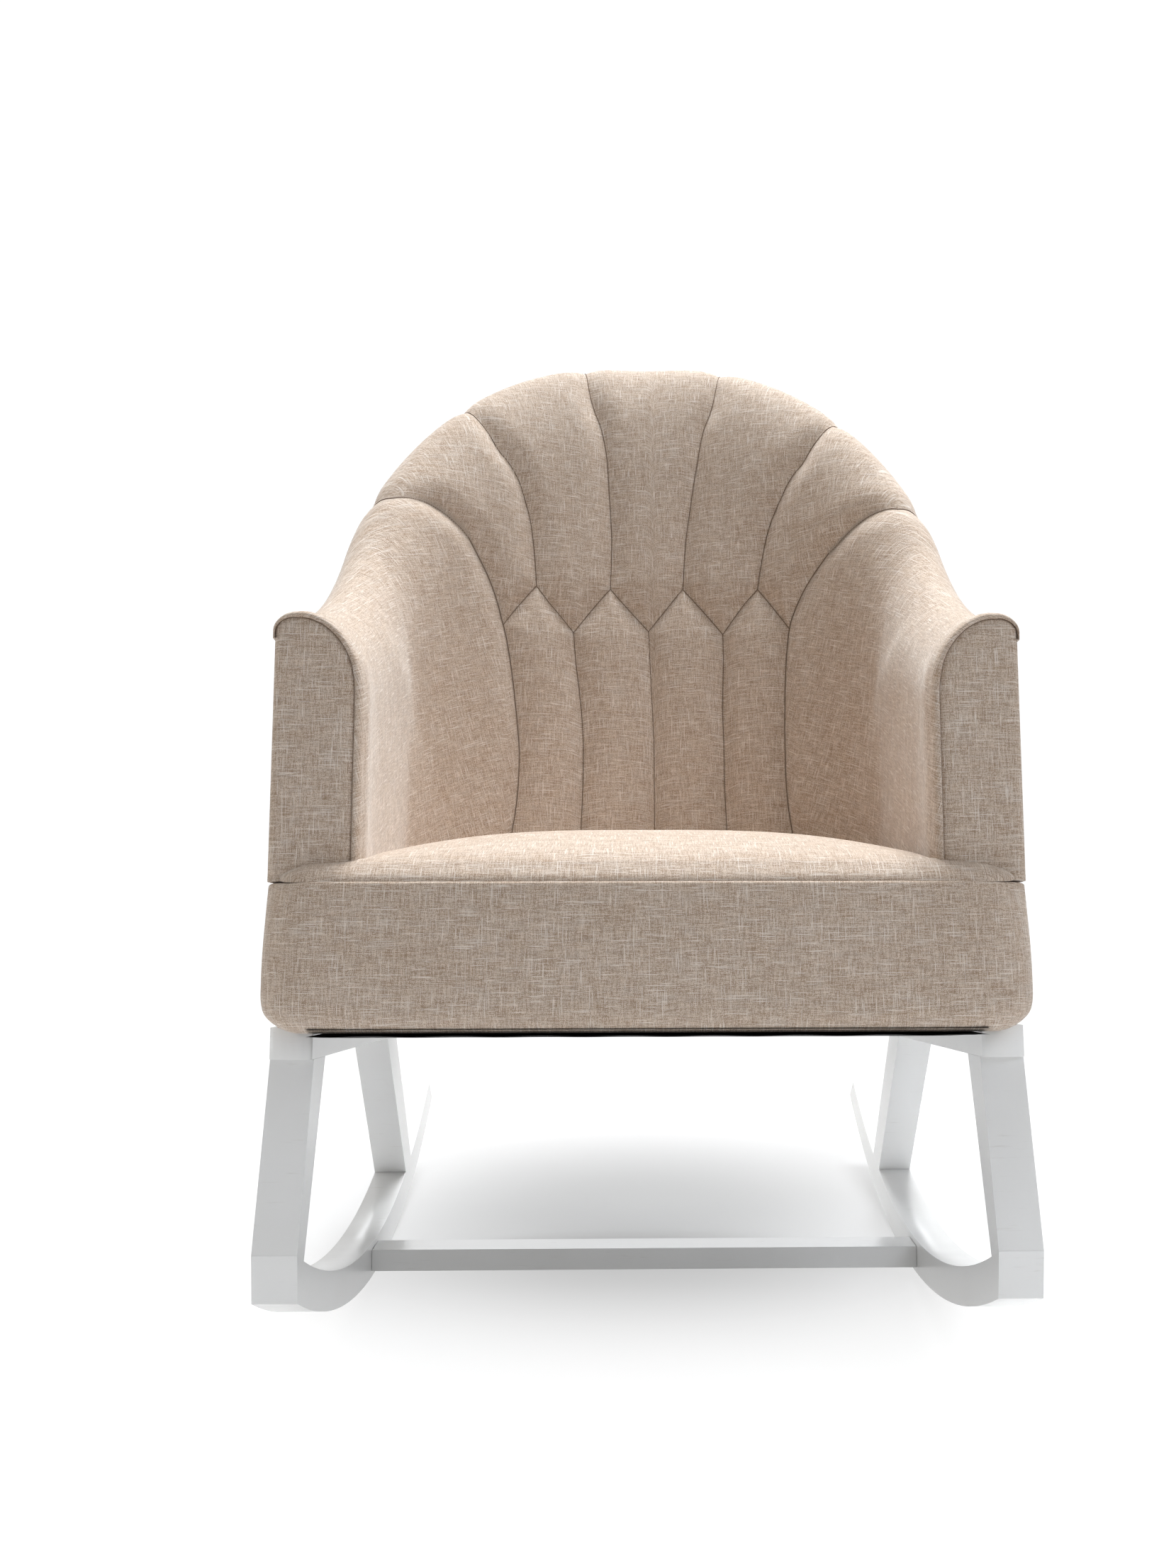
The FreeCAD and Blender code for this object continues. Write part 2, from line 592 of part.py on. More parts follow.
def plan_edges(inset):
    """Edges of the seat's plan, in by a distance: rounded front corners, straight sides, elliptical back."""
    half = size("seat_half_width") - inset
    reach = seat_reach - inset
    radius = max(size("seat_corner_radius") - inset, 1.0)
    nose = -size("seat_front") + inset
    bend = Vector(0, bend_start, 0)
    ellipse = Part.Ellipse(Vector(half, bend_start, 0), Vector(0, bend_start + reach, 0), bend)
    if reach > half:
        ellipse = Part.Ellipse(Vector(0, bend_start + reach, 0), Vector(-half, bend_start, 0), bend)
    start = ellipse.parameter(Vector(half, bend_start, 0))
    back = Part.Arc(ellipse, start, start + math.pi).toShape()
    cut = radius - math.sqrt(0.5) * radius          # corner to the middle of its rounding, across and back
    right_corner = Part.Arc(Vector(half - radius, nose, 0), Vector(half - cut, nose + cut, 0),
                            Vector(half, nose + radius, 0)).toShape()
    left_corner = Part.Arc(Vector(-half, nose + radius, 0), Vector(-half + cut, nose + cut, 0),
                           Vector(-half + radius, nose, 0)).toShape()
    right = Part.makeLine(Vector(half, nose + radius, 0), Vector(half, bend_start, 0))
    left = Part.makeLine(Vector(-half, bend_start, 0), Vector(-half, nose + radius, 0))
    front_edge = Part.makeLine(Vector(-half + radius, nose, 0), Vector(half - radius, nose, 0))
    return [front_edge, right_corner, right, back, left, left_corner]


def plan_solid(inset, foot, height):
    """The seat's plan, in by a distance, as a solid from foot upwards."""
    face = Part.Face(Part.Wire(plan_edges(inset)))
    face.translate(Vector(0, 0, foot))
    return face.extrude(Vector(0, 0, height))


def block(x_range, y_range, z_range):
    return Part.makeBox(x_range[1] - x_range[0], y_range[1] - y_range[0], z_range[1] - z_range[0],
                        Vector(x_range[0], y_range[0], z_range[0]))


def free_form(name, shape, label, weight):
    feature = doc.addObject("Part::Feature", name)
    feature.Shape = shape
    return keep(feature, label, weight)


WIDE = 2 * size("back_height")          # larger than the chair, for cutting away everything on one side
timber_foot = number(seat_timber_foot) + size("glue_line")
timber_top = timber_foot + size("seat_timber_height")
side_outer = number(border_inner)
side_inner = side_outer - size("seat_timber")
front_outer = -size("seat_front") + size("border_depth")
front_inner = front_outer + size("front_timber")


def seat_side_rail(name, side):
    """A side rail of the seat frame, over the base's seat rail, rounded at the front to the seat's corner."""
    body = new_body(name + "_seat_side_rail")
    sketch = level_sketch(body, body.Name + "_plan", seat_timber_foot + cell("glue_line"))
    inner = (border_inner - cell("seat_timber")) * side
    outer = border_inner * side
    front = -cell("seat_front") + cell("border_depth")
    back = cell("bend_start") - cell("glue_line")
    draw_chain(sketch, [(inner, front), (outer, front), (outer, back), (inner, back)])
    pad(body, sketch, cell("seat_timber_height"))
    corner = Vector(number(outer), number(front), 0)
    fillet = body.newObject("PartDesign::Fillet", body.Name + "_corner")
    upright = []
    for index, edge in enumerate(body.Shape.Edges, start=1):
        middle = edge.CenterOfMass
        if edge.Length > 1 and abs(middle.x - corner.x) < 0.01 and abs(middle.y - corner.y) < 0.01:
            upright.append("Edge%d" % index)
    fillet.Base = (body.Group[-2], upright)
    fillet.Radius = number(frame_corner_radius)
    fillet.setExpression("Radius", formula(frame_corner_radius))
    doc.recompute()
    level = Placement(Vector(0, 0, timber_foot), Rotation())
    bores = new_sketch(body, "XY_Plane", name + "_insert_bores", level)
    places = [(frame_middle * side, along) for along in bolt_places()]
    draw_holes(bores, places, cell("bolt_bore") + cell("glue_line") * 2)
    in_timber = cell("bolt_head_height") + cell("bolt_grip") - cell("rail_height")
    pocket(body, bores, in_timber + cell("fit_gap"), reversed_=True)
    keep(body, name + "_seat_side_rail", WOOD)


def timber_box(name, x_half, y_from, y_length, height):
    """A straight rail across the seat frame."""
    rail = doc.addObject("Part::Box", name)
    rail.setExpression("Length", formula(x_half * 2))
    rail.setExpression("Width", formula(y_length))
    rail.setExpression("Height", formula(height))
    keep(rail, name, WOOD, Placement(Vector(-number(x_half), number(y_from), timber_foot), Rotation()))


def seat_back_rail():
    """The seat frame's rounded back rail, laminated to the curve of the back."""
    outer = plan_solid(size("border_depth"), timber_foot, size("seat_timber_height"))
    inner = plan_solid(size("border_depth") + size("seat_timber"), timber_foot, size("seat_timber_height"))
    behind = block((-WIDE, WIDE), (bend_start, WIDE), (0, WIDE))
    free_form("seat_back_rail", outer.cut(inner).common(behind), "seat_back_rail", WOOD)


def corner_blocks():
    """Triangular blocks glued into the corners behind the front rail and ahead of the cross rail."""
    leg_length = size("corner_block_leg")
    corner = side_inner - size("glue_line")
    blocks = []
    for face_y, reach in ((front_inner + size("glue_line"), leg_length),
                          (bend_start - size("front_timber") / 2 - size("glue_line"), -leg_length)):
        for side in (-1, 1):
            outline = [Vector(side * corner, face_y, timber_foot),
                       Vector(side * (corner - leg_length), face_y, timber_foot),
                       Vector(side * corner, face_y + reach, timber_foot)]
            face = Part.Face(Part.makePolygon(outline + outline[:1]))
            blocks.append(face.extrude(Vector(0, 0, size("cross_rail_height"))))
    free_form("corner_blocks", Part.makeCompound(blocks), "corner_blocks", WOOD)


for name, side in SIDES:
    seat_side_rail(name, side)
rail_half = border_inner - cell("seat_timber") - cell("glue_line")
timber_box("seat_front_rail", rail_half, -cell("seat_front") + cell("border_depth"), cell("front_timber"),
           cell("seat_timber_height"))
timber_box("seat_cross_rail", rail_half, cell("bend_start") - cell("front_timber") / 2, cell("front_timber"),
           cell("cross_rail_height"))
seat_back_rail()
corner_blocks()


# ------------------------------------------------------------------ webbing, deck cloth and dust cover

deck_inset = size("border_depth") + size("seat_timber") - size("webbing_bearing")
deck_front = front_inner - size("webbing_bearing")


def deck_plan(foot, height):
    """What the webbing and the deck cloth cover: the seat's opening and a bearing strip on each rail."""
    opening = plan_solid(deck_inset, foot, height)
    deck_back = front_inner + size("seat_timber")
    bearing = block((-side_inner, side_inner), (deck_front, deck_back), (foot, foot + height))
    return opening.fuse(bearing).removeSplitter()


def webbing():
    """Elastic straps stapled to the rails, first front to back and then side to side."""
    depth = size("webbing_depth")
    half = size("webbing_width") / 2
    pitch = size("webbing_pitch")
    across = int((side_inner - half) / pitch - 0.5)
    lengthwise = []
    for step in range(-across - 1, across + 1):
        middle = (step + 0.5) * pitch
        strap = block((middle - half, middle + half), (-WIDE, WIDE), (timber_top, timber_top + depth))
        lengthwise.append(strap.common(deck_plan(timber_top, depth)))
    free_form("webbing_lengthwise", Part.makeCompound(lengthwise), "webbing_lengthwise", SOFT)
    crosswise = []
    first = front_inner + pitch / 2
    last = bend_start + seat_reach - deck_inset - pitch / 2
    upper = timber_top + depth
    for step in range(int((last - first) / pitch) + 1):
        middle = first + step * pitch
        strap = block((-WIDE, WIDE), (middle - half, middle + half), (upper, upper + depth))
        crosswise.append(strap.common(deck_plan(upper, depth)))
    free_form("webbing_crosswise", Part.makeCompound(crosswise), "webbing_crosswise", SOFT)


deck_foot = timber_top + 2 * size("webbing_depth")
deck_top = deck_foot + size("deck_depth")
webbing()
free_form("deck_cloth", deck_plan(deck_foot, size("deck_depth")), "deck_cloth", SOFT)

between_frames = number(frame_inner) - size("fit_gap")
dust_cover_foot = timber_foot - size("dust_cover_depth")
dust_cover = plan_solid(size("dust_cover_inset"), dust_cover_foot, size("dust_cover_depth"))
dust_cover = dust_cover.common(block((-between_frames, between_frames), (-WIDE, WIDE), (0, WIDE)))
free_form("dust_cover", dust_cover, "dust_cover", SOFT)


# ------------------------------------------------------------------ seat upholstery

def seat_borders():
    """The padded band round the seat frame: a front piece that wraps the corners, and one round the rest."""
    height = size("border_top") - timber_foot
    band = plan_solid(0, timber_foot, height)
    low_edges = [edge for edge in band.Edges if abs(edge.BoundBox.ZMax - timber_foot) < 0.01]
    band = band.makeFillet(size("border_depth") * size("border_edge_share"), low_edges)
    band = band.cut(plan_solid(size("border_depth"), 0, WIDE))
    joint = -size("border_joint")
    half_gap = size("fit_gap") / 2
    front = band.common(block((-WIDE, WIDE), (-WIDE, joint - half_gap), (0, WIDE)))
    rear = band.common(block((-WIDE, WIDE), (joint + half_gap, WIDE), (0, WIDE)))
    free_form("seat_border_front", front, "seat_border_front", SOFT)
    free_form("seat_border_rear", rear, "seat_border_rear", SOFT)


def tub_plan(inset, front, height):
    """The tub's plan at one height, in by a distance, as a closed wire."""
    half = tub_half - inset
    reach = tub_reach(height) - inset
    right = Vector(half, bend_start, height)
    back = Vector(0, bend_start + reach, height)
    middle = Vector(0, bend_start, height)
    left = Vector(-half, bend_start, height)
    ellipse = Part.Ellipse(right, back, middle)
    if reach > half:
        ellipse = Part.Ellipse(back, left, middle)
    start = ellipse.parameter(right)
    curve = Part.Arc(ellipse, start, start + math.pi).toShape()
    corners = [left, Vector(-half, front, height), Vector(half, front, height), right]
    return Part.Wire([curve] + [Part.makeLine(a, b) for a, b in zip(corners, corners[1:])])


def seat_cushion():
    """The sprung foam seat: domed, filling the tub, with a rounded front lip that reaches over the border.
    A tongue under the lip fills the space behind the front border."""
    gap = size("fit_gap")
    foot = deck_top + gap
    seam = size("border_top") + gap
    front = -size("seat_front") + size("lip_inset")
    lip_back = -size("arm_front") - gap
    inset = size("tub_wall") + gap
    levels = [tub_plan(inset, lip_back - gap, level) for level in (foot, size("crown_height"))]
    body = Part.makeLoft(levels, True, True)
    ahead = block((-WIDE, WIDE), (-WIDE, lip_back), (0, WIDE))
    lip = plan_solid(size("lip_inset"), seam, size("crown_height") - seam).common(ahead)
    tongue = plan_solid(size("border_depth") + gap, foot, seam - foot).common(ahead)
    whole = body.fuse([lip, tongue]).removeSplitter()

    roll_end = Vector(0, front + size("front_roll"), seam + size("front_roll"))
    roll_cut = size("front_roll") * (1 - math.sqrt(0.5))
    roll_middle = Vector(0, front + roll_cut, seam + size("front_roll") - roll_cut)
    crown = Vector(0, -size("crown_place"), size("crown_height"))
    rear = Vector(0, bend_start + tub_reach(size("lean_height")), size("crown_back_height"))
    edges = [Part.Arc(Vector(0, front, seam), roll_middle, roll_end).toShape(),
             Part.Arc(roll_end, crown, rear).toShape(),
             Part.makeLine(rear, Vector(0, rear.y, 0)),
             Part.makeLine(Vector(0, rear.y, 0), Vector(0, front, 0)),
             Part.makeLine(Vector(0, front, 0), Vector(0, front, seam))]
    lengthwise = Part.Face(Part.Wire(edges))
    lengthwise.translate(Vector(-WIDE / 2, 0, 0))
    lengthwise = lengthwise.extrude(Vector(WIDE, 0, 0))

    half = tub_half - inset
    fall = size("crown_side_fall")
    radius = (half ** 2 + fall ** 2) / (2 * fall)
    axis_end = Vector(0, -WIDE / 2, size("crown_height") - radius)
    across = Part.makeCylinder(radius, WIDE, axis_end, Vector(0, 1, 0))
    free_form("seat_cushion", whole.common(lengthwise).common(across), "seat_cushion", SOFT)


seat_borders()
seat_cushion()


# ------------------------------------------------------------------ tub

straight_length = size("arm_front") + bend_start
bend_reach = tub_reach(size("lean_height"))
wide_reach = tub_reach((size("lean_height") + size("back_height")) / 2)
bend_length = math.pi / 2 * math.sqrt((tub_half ** 2 + wide_reach ** 2) / 2)
straight_share = straight_length / (straight_length + bend_length)
shell_outer = size("outer_panel_depth")
shell_inner = shell_outer + size("shell_depth")
arm_body_front = -size("arm_front") + size("front_panel_depth") + size("fit_gap")


def share_at(y):
    """How far along the rim a point of the arm is, from 0 at the arm's front to 1 at the back's middle."""
    return straight_share * (y + size("arm_front")) / straight_length


RIM_SAG_TIGHTNESS = 7


def rim_height(share):
    """The rim climbs from the arms to the back in one sagging S and runs level over the back's middle."""
    rise = min(share / size("rim_full_share"), 1.0)
    climb = (size("back_height") - size("arm_height")) * rise * rise * (3 - 2 * rise)
    early = rise ** size("rim_sag_place")
    return size("arm_height") + climb - size("rim_sag") * (4 * early * (1 - early)) ** RIM_SAG_TIGHTNESS


class Station:
    """One place along the tub's wall: a point by its depth in from the outer face and its height."""

    def __init__(self, share, side):
        self.rim = rim_height(share)
        if share <= straight_share:
            along = straight_length * share / straight_share
            self.base = Vector(side * tub_half, -size("arm_front") + along, 0)
            self.outward = Vector(side, 0, 0)
            self.lean = 0.0
        else:
            angle = math.pi / 2 * (1 - share) / (1 - straight_share)
            across, back = math.sin(angle), math.cos(angle)
            self.base = Vector(side * tub_half * across, bend_start + bend_reach * back, 0)
            self.outward = Vector(side * wide_reach * across, tub_half * back, 0)
            self.outward.normalize()
            self.lean = lean * math.cos(angle)

    def at(self, depth, height):
        spot = self.base - self.outward * depth
        return Vector(spot.x, spot.y + self.lean * (height - size("lean_height")), height)


def closed_outline(pieces):
    """A wire from points, and from (corner, end) pairs that stand for quarter ellipses rounding a corner."""
    edges = []
    here = pieces[0]
    for piece in pieces[1:] + pieces[:1]:
        if isinstance(piece, tuple):
            corner, end = piece
            curve = Part.BezierCurve()
            curve.setPoles([here, corner, end])
            curve.setWeight(2, math.sqrt(0.5))
            edges.append(curve.toShape())
            here = end
        else:
            edges.append(Part.makeLine(here, piece))
            here = piece
    return Part.Wire(edges)


def board_section(station, outer, inner, foot):
    """A plain board: upright, its top following the rim under the padding."""
    top = station.rim - size("rim_cap")
    corners = ((inner, foot), (inner, top), (outer, top), (outer, foot))
    return closed_outline([station.at(depth, height) for depth, height in corners])


def rim_outline(station):
    """The rounded top of the wall, from the inner face over to the outer one."""
    wall = size("tub_wall")
    outer_round = size("rim_outer_round")
    inner_arc = (station.at(wall, station.rim), station.at(wall - size("rim_round_width"), station.rim))
    outer_arc = (station.at(0, station.rim), station.at(0, station.rim - outer_round))
    return [station.at(wall, station.rim - size("rim_round_height")), inner_arc,
            station.at(outer_round, station.rim), outer_arc]


def pad_section(station, foot):
    """The inside padding: up the shell's inner face, over its top and down to the outside panel."""
    under_cap = station.rim - size("rim_cap") + size("fit_gap")
    back = shell_inner + size("fit_gap")
    return closed_outline([station.at(size("tub_wall"), foot)] + rim_outline(station)
                          + [station.at(0, under_cap), station.at(back, under_cap), station.at(back, foot)])


def whole_section(station, foot):
    """The wall's whole section, as the arm's front panel closes it."""
    return closed_outline([station.at(size("tub_wall"), foot)] + rim_outline(station) + [station.at(0, foot)])


ARM_SECTIONS = 4
BEND_SECTIONS = 6


def arm_loft(side, start, end, outline, count=ARM_SECTIONS):
    """A solid along one arm, from one depth to another."""
    wires = []
    for step in range(count):
        share = share_at(start + (end - start) * step / (count - 1))
        wires.append(outline(Station(share, side)))
    return Part.makeLoft(wires, True, False)


def back_loft(outline):
    """A solid round the whole back, from one arm to the other."""
    spacing = (1 - straight_share) / BEND_SECTIONS
    shares = [straight_share + spacing * step for step in range(BEND_SECTIONS + 1)]
    stations = [Station(share, -1) for share in shares] + [Station(share, 1) for share in shares[-2::-1]]
    return Part.makeLoft([outline(station) for station in stations], True, False)


pad_foot = deck_top + size("fit_gap")
panel_foot = size("border_top") + size("fit_gap")
arm_end = bend_start - size("fit_gap")
post_end = arm_body_front + size("arm_post_width")


def shell_outline(station):
    return board_section(station, shell_outer, shell_inner, timber_top + size("glue_line"))


def outside_outline(station):
    return board_section(station, 0.0, shell_outer - size("fit_gap"), panel_foot)


def pad_outline(station):
    return pad_section(station, pad_foot)


def front_panel_outline(station):
    return whole_section(station, panel_foot)


# The back's cover is sewn down in channels: three seams below a zigzag, four above it, and a wing seam on
# each side. A seam is a row of (way, rise): way runs from 0 at the back's middle to 1 at the arm's front,
# rise from 0 at the padding's foot over FACE_SHARE, where the rim's rounding starts, to 1 at the top.
FACE_SHARE = 0.7
SEAM_FOOT = 0.02
SEAM_TOP = 0.985
END_DEPTH = 0.4             # a seam runs out over the rim, this share of its depth is left at its end
ROUND_STEP = 0.08
SEAM_STEP = 0.004           # half the stretch of the face that a seam's direction is taken from


def face_point(way, rise):
    """A point of the padding's face."""
    station = Station(1 - abs(way), 1 if way >= 0 else -1)
    wall = size("tub_wall")
    round_foot = station.rim - size("rim_round_height")
    if rise <= FACE_SHARE:
        return station.at(wall, pad_foot + (round_foot - pad_foot) * rise / FACE_SHARE)
    turn = math.pi / 2 * (rise - FACE_SHARE) / (1 - FACE_SHARE)
    depth = wall - size("rim_round_width") * (1 - math.cos(turn))
    return station.at(depth, round_foot + size("rim_round_height") * math.sin(turn))


def rise_at(way, height):
    """The rise of a height on the padding's flat face."""
    round_foot = rim_height(1 - abs(way)) - size("rim_round_height")
    return FACE_SHARE * (height - pad_foot) / (round_foot - pad_foot)


def over_the_round(seam):
    """The same seam with its stretch over the rim's rounding cut up, so that a wedge follows the curve."""
    spots = []
    for (way, rise), (next_way, next_rise) in zip(seam, seam[1:]):
        pieces = max(1, math.ceil((next_rise - max(rise, FACE_SHARE)) / ROUND_STEP))
        for piece in range(pieces):
            share = piece / pieces
            spots.append((way + (next_way - way) * share, rise + (next_rise - rise) * share))
    return spots + seam[-1:]


def groove(seam, side):
    """A wedge along one seam that presses a valley into the padding."""
    seam = over_the_round(seam)
    spots = [face_point(side * way, rise) for way, rise in seam]
    wedges = []
    for index, (way, rise) in enumerate(seam):
        depth = size("seam_depth") * (END_DEPTH if rise == SEAM_TOP else 1.0)
        clear = size("seam_depth")
        half_width = size("seam_half_width") * (depth + clear) / size("seam_depth")
        place = side * way
        up = face_point(place, rise + SEAM_STEP) - face_point(place, rise - SEAM_STEP)
        across = face_point(place + SEAM_STEP, rise) - face_point(place - SEAM_STEP, rise)
        inwards = across.cross(up).normalize()
        ahead = spots[min(index + 1, len(spots) - 1)] - spots[max(index - 1, 0)]
        sideways = ahead.cross(inwards).normalize() * half_width
        crest = spots[index] + inwards * clear
        corners = [spots[index] - inwards * depth, crest + sideways, crest - sideways]
        wedges.append(Part.makePolygon(corners + corners[:1]))
    return Part.makeLoft(wedges, True, True)


def up_to_the_rim(start, steps):
    """A seam from one spot to the top, its steps given as (way, share of the rise that is left)."""
    return [start] + [(way, start[1] + (SEAM_TOP - start[1]) * share) for way, share in steps]


def channel_seams():
    """The seam down the middle, and the others as they run on one side."""
    channel = size("channel_share")
    dip, peak = size("zigzag_dip"), size("zigzag_peak")
    zigzag = []
    for step in range(5):
        way = step * channel / 2
        zigzag.append((way, rise_at(way, peak if step % 2 else dip)))
    middle = [(0.0, SEAM_FOOT), zigzag[0]]
    lower = [(0.93 * channel, SEAM_FOOT), zigzag[2]]
    inner = up_to_the_rim(zigzag[1], ((0.079, 0.25), (0.1015, 0.41), (0.116, 0.52), (0.15, 1.0)))
    outer = up_to_the_rim(zigzag[3], ((0.231, 0.17), (0.272, 0.33), (0.328, 0.49), (0.341, 1.0)))
    wing = [(0.254, SEAM_FOOT), (0.25, 0.2), (0.265, 0.355), (0.325, 0.51), (0.395, 0.61), (0.487, 0.76),
            (0.53, SEAM_TOP)]
    return middle, [lower, inner, outer, wing] + [[a, b] for a, b in zip(zigzag, zigzag[1:])]


def channelled_back():
    middle, others = channel_seams()
    wedges = [groove(middle, 1)]
    for name, side in SIDES:
        wedges += [groove(seam, side) for seam in others]
    return back_loft(pad_outline).cut(wedges)


for name, side in SIDES:
    post = arm_loft(side, arm_body_front, post_end, shell_outline, 2)
    free_form(name + "_arm_post", post, name + "_arm_post", WOOD)
    board = arm_loft(side, post_end + size("glue_line"), arm_end, shell_outline)
    free_form(name + "_arm_board", board, name + "_arm_board", WOOD)
free_form("back_shell", back_loft(shell_outline), "back_shell", WOOD)
for name, side in SIDES:
    inside = arm_loft(side, arm_body_front, arm_end, pad_outline)
    free_form(name + "_inside_arm", inside, name + "_inside_arm", SOFT)
    outside = arm_loft(side, arm_body_front, arm_end, outside_outline)
    free_form(name + "_outside_arm", outside, name + "_outside_arm", SOFT)
    panel = arm_loft(side, -size("arm_front"), arm_body_front - size("fit_gap"), front_panel_outline, 2)
    free_form(name + "_arm_front_panel", panel, name + "_arm_front_panel", SOFT)
free_form("inside_back", channelled_back(), "inside_back", SOFT)
free_form("outside_back", back_loft(outside_outline), "outside_back", SOFT)


# ------------------------------------------------------------------ balance, check and export

doc.recompute()


def balance_angle():
    """How far the chair rolls back before its centre of mass hangs under the rockers' arc centre."""
    mass = 0.0
    moment = Vector(0, 0, 0)
    for obj, own, weight in nodes:
        for solid in obj.Shape.Solids:
            share = solid.Volume * size(weight)
            mass += share
            moment += own.multVec(solid.CenterOfMass) * share
    centre = moment * (1 / mass)
    print("centre of mass, drawn level: y %.1f z %.1f" % (centre.y, centre.z))
    return math.degrees(math.atan2(centre.y, size("rocker_radius") - centre.z))


roll = balance_angle()
print("rolled back %.2f degrees" % roll)
rest = Placement(Vector(0, 0, 0), Rotation(Vector(1, 0, 0), -roll), Vector(0, 0, size("rocker_radius")))
for obj, own, weight in nodes:
    obj.Placement = rest.multiply(own)
doc.recompute()

front_most = min(obj.Shape.optimalBoundingBox(False, False).YMin for obj, own, weight in nodes)
rear_most = max(obj.Shape.optimalBoundingBox(False, False).YMax for obj, own, weight in nodes)
centring = Placement(Vector(0, -(front_most + rear_most) / 2, 0), Rotation())
for obj, own, weight in nodes:
    obj.Placement = centring.multiply(obj.Placement)
doc.recompute()

for obj in doc.Objects:
    if "Invalid" in obj.State or "Error" in obj.State:
        raise RuntimeError("%s failed: %s" % (obj.Name, obj.State))
for obj, own, weight in nodes:
    if obj.Shape.isNull() or not obj.Shape.isValid() or not obj.Shape.Solids:
        raise RuntimeError("%s has no sound shape" % obj.Label)

os.makedirs("parts", exist_ok=True)
for obj, own, weight in nodes:
    obj.Shape.exportStep("parts/%s.step" % obj.Label)
print("%d sub-parts written" % len(nodes))
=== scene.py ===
import json
import math

import bpy
import numpy as np
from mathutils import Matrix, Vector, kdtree


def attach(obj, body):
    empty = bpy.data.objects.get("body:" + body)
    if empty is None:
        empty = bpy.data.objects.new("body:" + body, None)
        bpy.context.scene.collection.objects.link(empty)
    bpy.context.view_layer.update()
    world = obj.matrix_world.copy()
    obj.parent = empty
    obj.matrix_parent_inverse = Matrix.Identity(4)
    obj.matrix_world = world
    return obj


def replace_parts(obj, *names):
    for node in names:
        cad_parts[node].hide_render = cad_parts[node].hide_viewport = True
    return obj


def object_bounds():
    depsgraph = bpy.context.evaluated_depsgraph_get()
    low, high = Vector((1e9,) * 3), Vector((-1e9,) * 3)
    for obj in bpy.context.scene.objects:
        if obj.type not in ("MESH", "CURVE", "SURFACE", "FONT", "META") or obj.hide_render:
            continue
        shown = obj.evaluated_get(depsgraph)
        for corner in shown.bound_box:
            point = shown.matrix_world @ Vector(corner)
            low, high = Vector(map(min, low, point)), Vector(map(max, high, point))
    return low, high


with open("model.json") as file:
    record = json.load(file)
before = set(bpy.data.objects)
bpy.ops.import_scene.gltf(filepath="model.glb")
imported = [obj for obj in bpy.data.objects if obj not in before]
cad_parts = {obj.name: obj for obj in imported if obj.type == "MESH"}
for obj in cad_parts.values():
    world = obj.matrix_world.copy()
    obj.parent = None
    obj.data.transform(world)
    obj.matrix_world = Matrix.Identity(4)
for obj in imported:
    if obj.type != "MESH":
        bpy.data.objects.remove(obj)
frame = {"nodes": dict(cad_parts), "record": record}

cad_box = [list(corner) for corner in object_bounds()]


# ---------------------------------------------------------------- side frames and stretcher
# Two rocker frames and the rail between them, of beech, sprayed with satin white lacquer.
# The arrises are eased by hand, and a trace of the grain shows through the paint.

def new_shader(name):
    """A node material: the material, its tree and its main shader."""
    material = bpy.data.materials.new(name)
    material.use_nodes = True
    return material, material.node_tree, material.node_tree.nodes["Principled BSDF"]


def add(tree, kind, values=(), **settings):
    """One shader node, its inputs given as values or as links."""
    node = tree.nodes.new("ShaderNode" + kind)
    for key, value in settings.items():
        setattr(node, key, value)
    for key, value in dict(values).items():
        if isinstance(value, bpy.types.NodeSocket):
            tree.links.new(value, node.inputs[key])
        else:
            node.inputs[key].default_value = value
    return node


def rise(tree, factor, low, high):
    """0 below low, 1 above high, smooth between."""
    node = add(tree, "MapRange", {0: factor, 1: low, 2: high}, interpolation_type="SMOOTHSTEP")
    return node.outputs[0]


def mixed(tree, factor, first, second):
    """The first colour at 0, the second at 1."""
    return add(tree, "Mix", {0: factor, 6: first, 7: second}, data_type="RGBA").outputs[2]


def stretched(tree, vector, scale, seed=(0, 0, 0)):
    """Places drawn together by a scale, and moved by a seed so that no two patterns match."""
    return add(tree, "Mapping", {"Vector": vector, "Location": seed, "Scale": scale}).outputs["Vector"]


def noise(tree, vector, scale=1.0, detail=2.0, roughness=0.5):
    """Soft patches of light and dark."""
    values = {"Vector": vector, "Scale": scale, "Detail": detail, "Roughness": roughness}
    return add(tree, "TexNoise", values).outputs["Fac"]


def bump(tree, height, distance, strength=1.0, normal=None):
    """A surface raised by a height, distance being its full depth in metres."""
    values = {"Height": height, "Distance": distance, "Strength": strength}
    if normal is not None:
        values["Normal"] = normal
    return add(tree, "Bump", values).outputs["Normal"]


def finish(tree, surface, colour, plain, relief=None):
    """Colour and relief linked to the main shader, and its plain values set on its own sockets."""
    tree.links.new(colour, surface.inputs["Base Color"])
    if relief is not None:
        tree.links.new(relief, surface.inputs["Normal"])
    for socket, value in plain.items():
        surface.inputs[socket].default_value = value


lacquer, tree, surface = new_shader("satin_white_lacquer")
thin_white = (0.82, 0.817, 0.805, 1)
full_white = (0.86, 0.86, 0.852, 1)
grain_white = (0.75, 0.74, 0.72, 1)
grain_run = (30.0, 160.0, 420.0)
spots = add(tree, "TexCoord").outputs["Object"]
grain = noise(tree, stretched(tree, spots, grain_run), detail=3.0, roughness=0.6)
clouds = noise(tree, spots, 7.0)
white = mixed(tree, rise(tree, clouds, 0.3, 0.7), thin_white, full_white)
white = mixed(tree, rise(tree, grain, 0.62, 0.8), white, grain_white)
finish(tree, surface, white, {"Roughness": 0.36, "Coat Weight": 0.5, "Coat Roughness": 0.2},
       bump(tree, grain, 0.0002, 0.35))

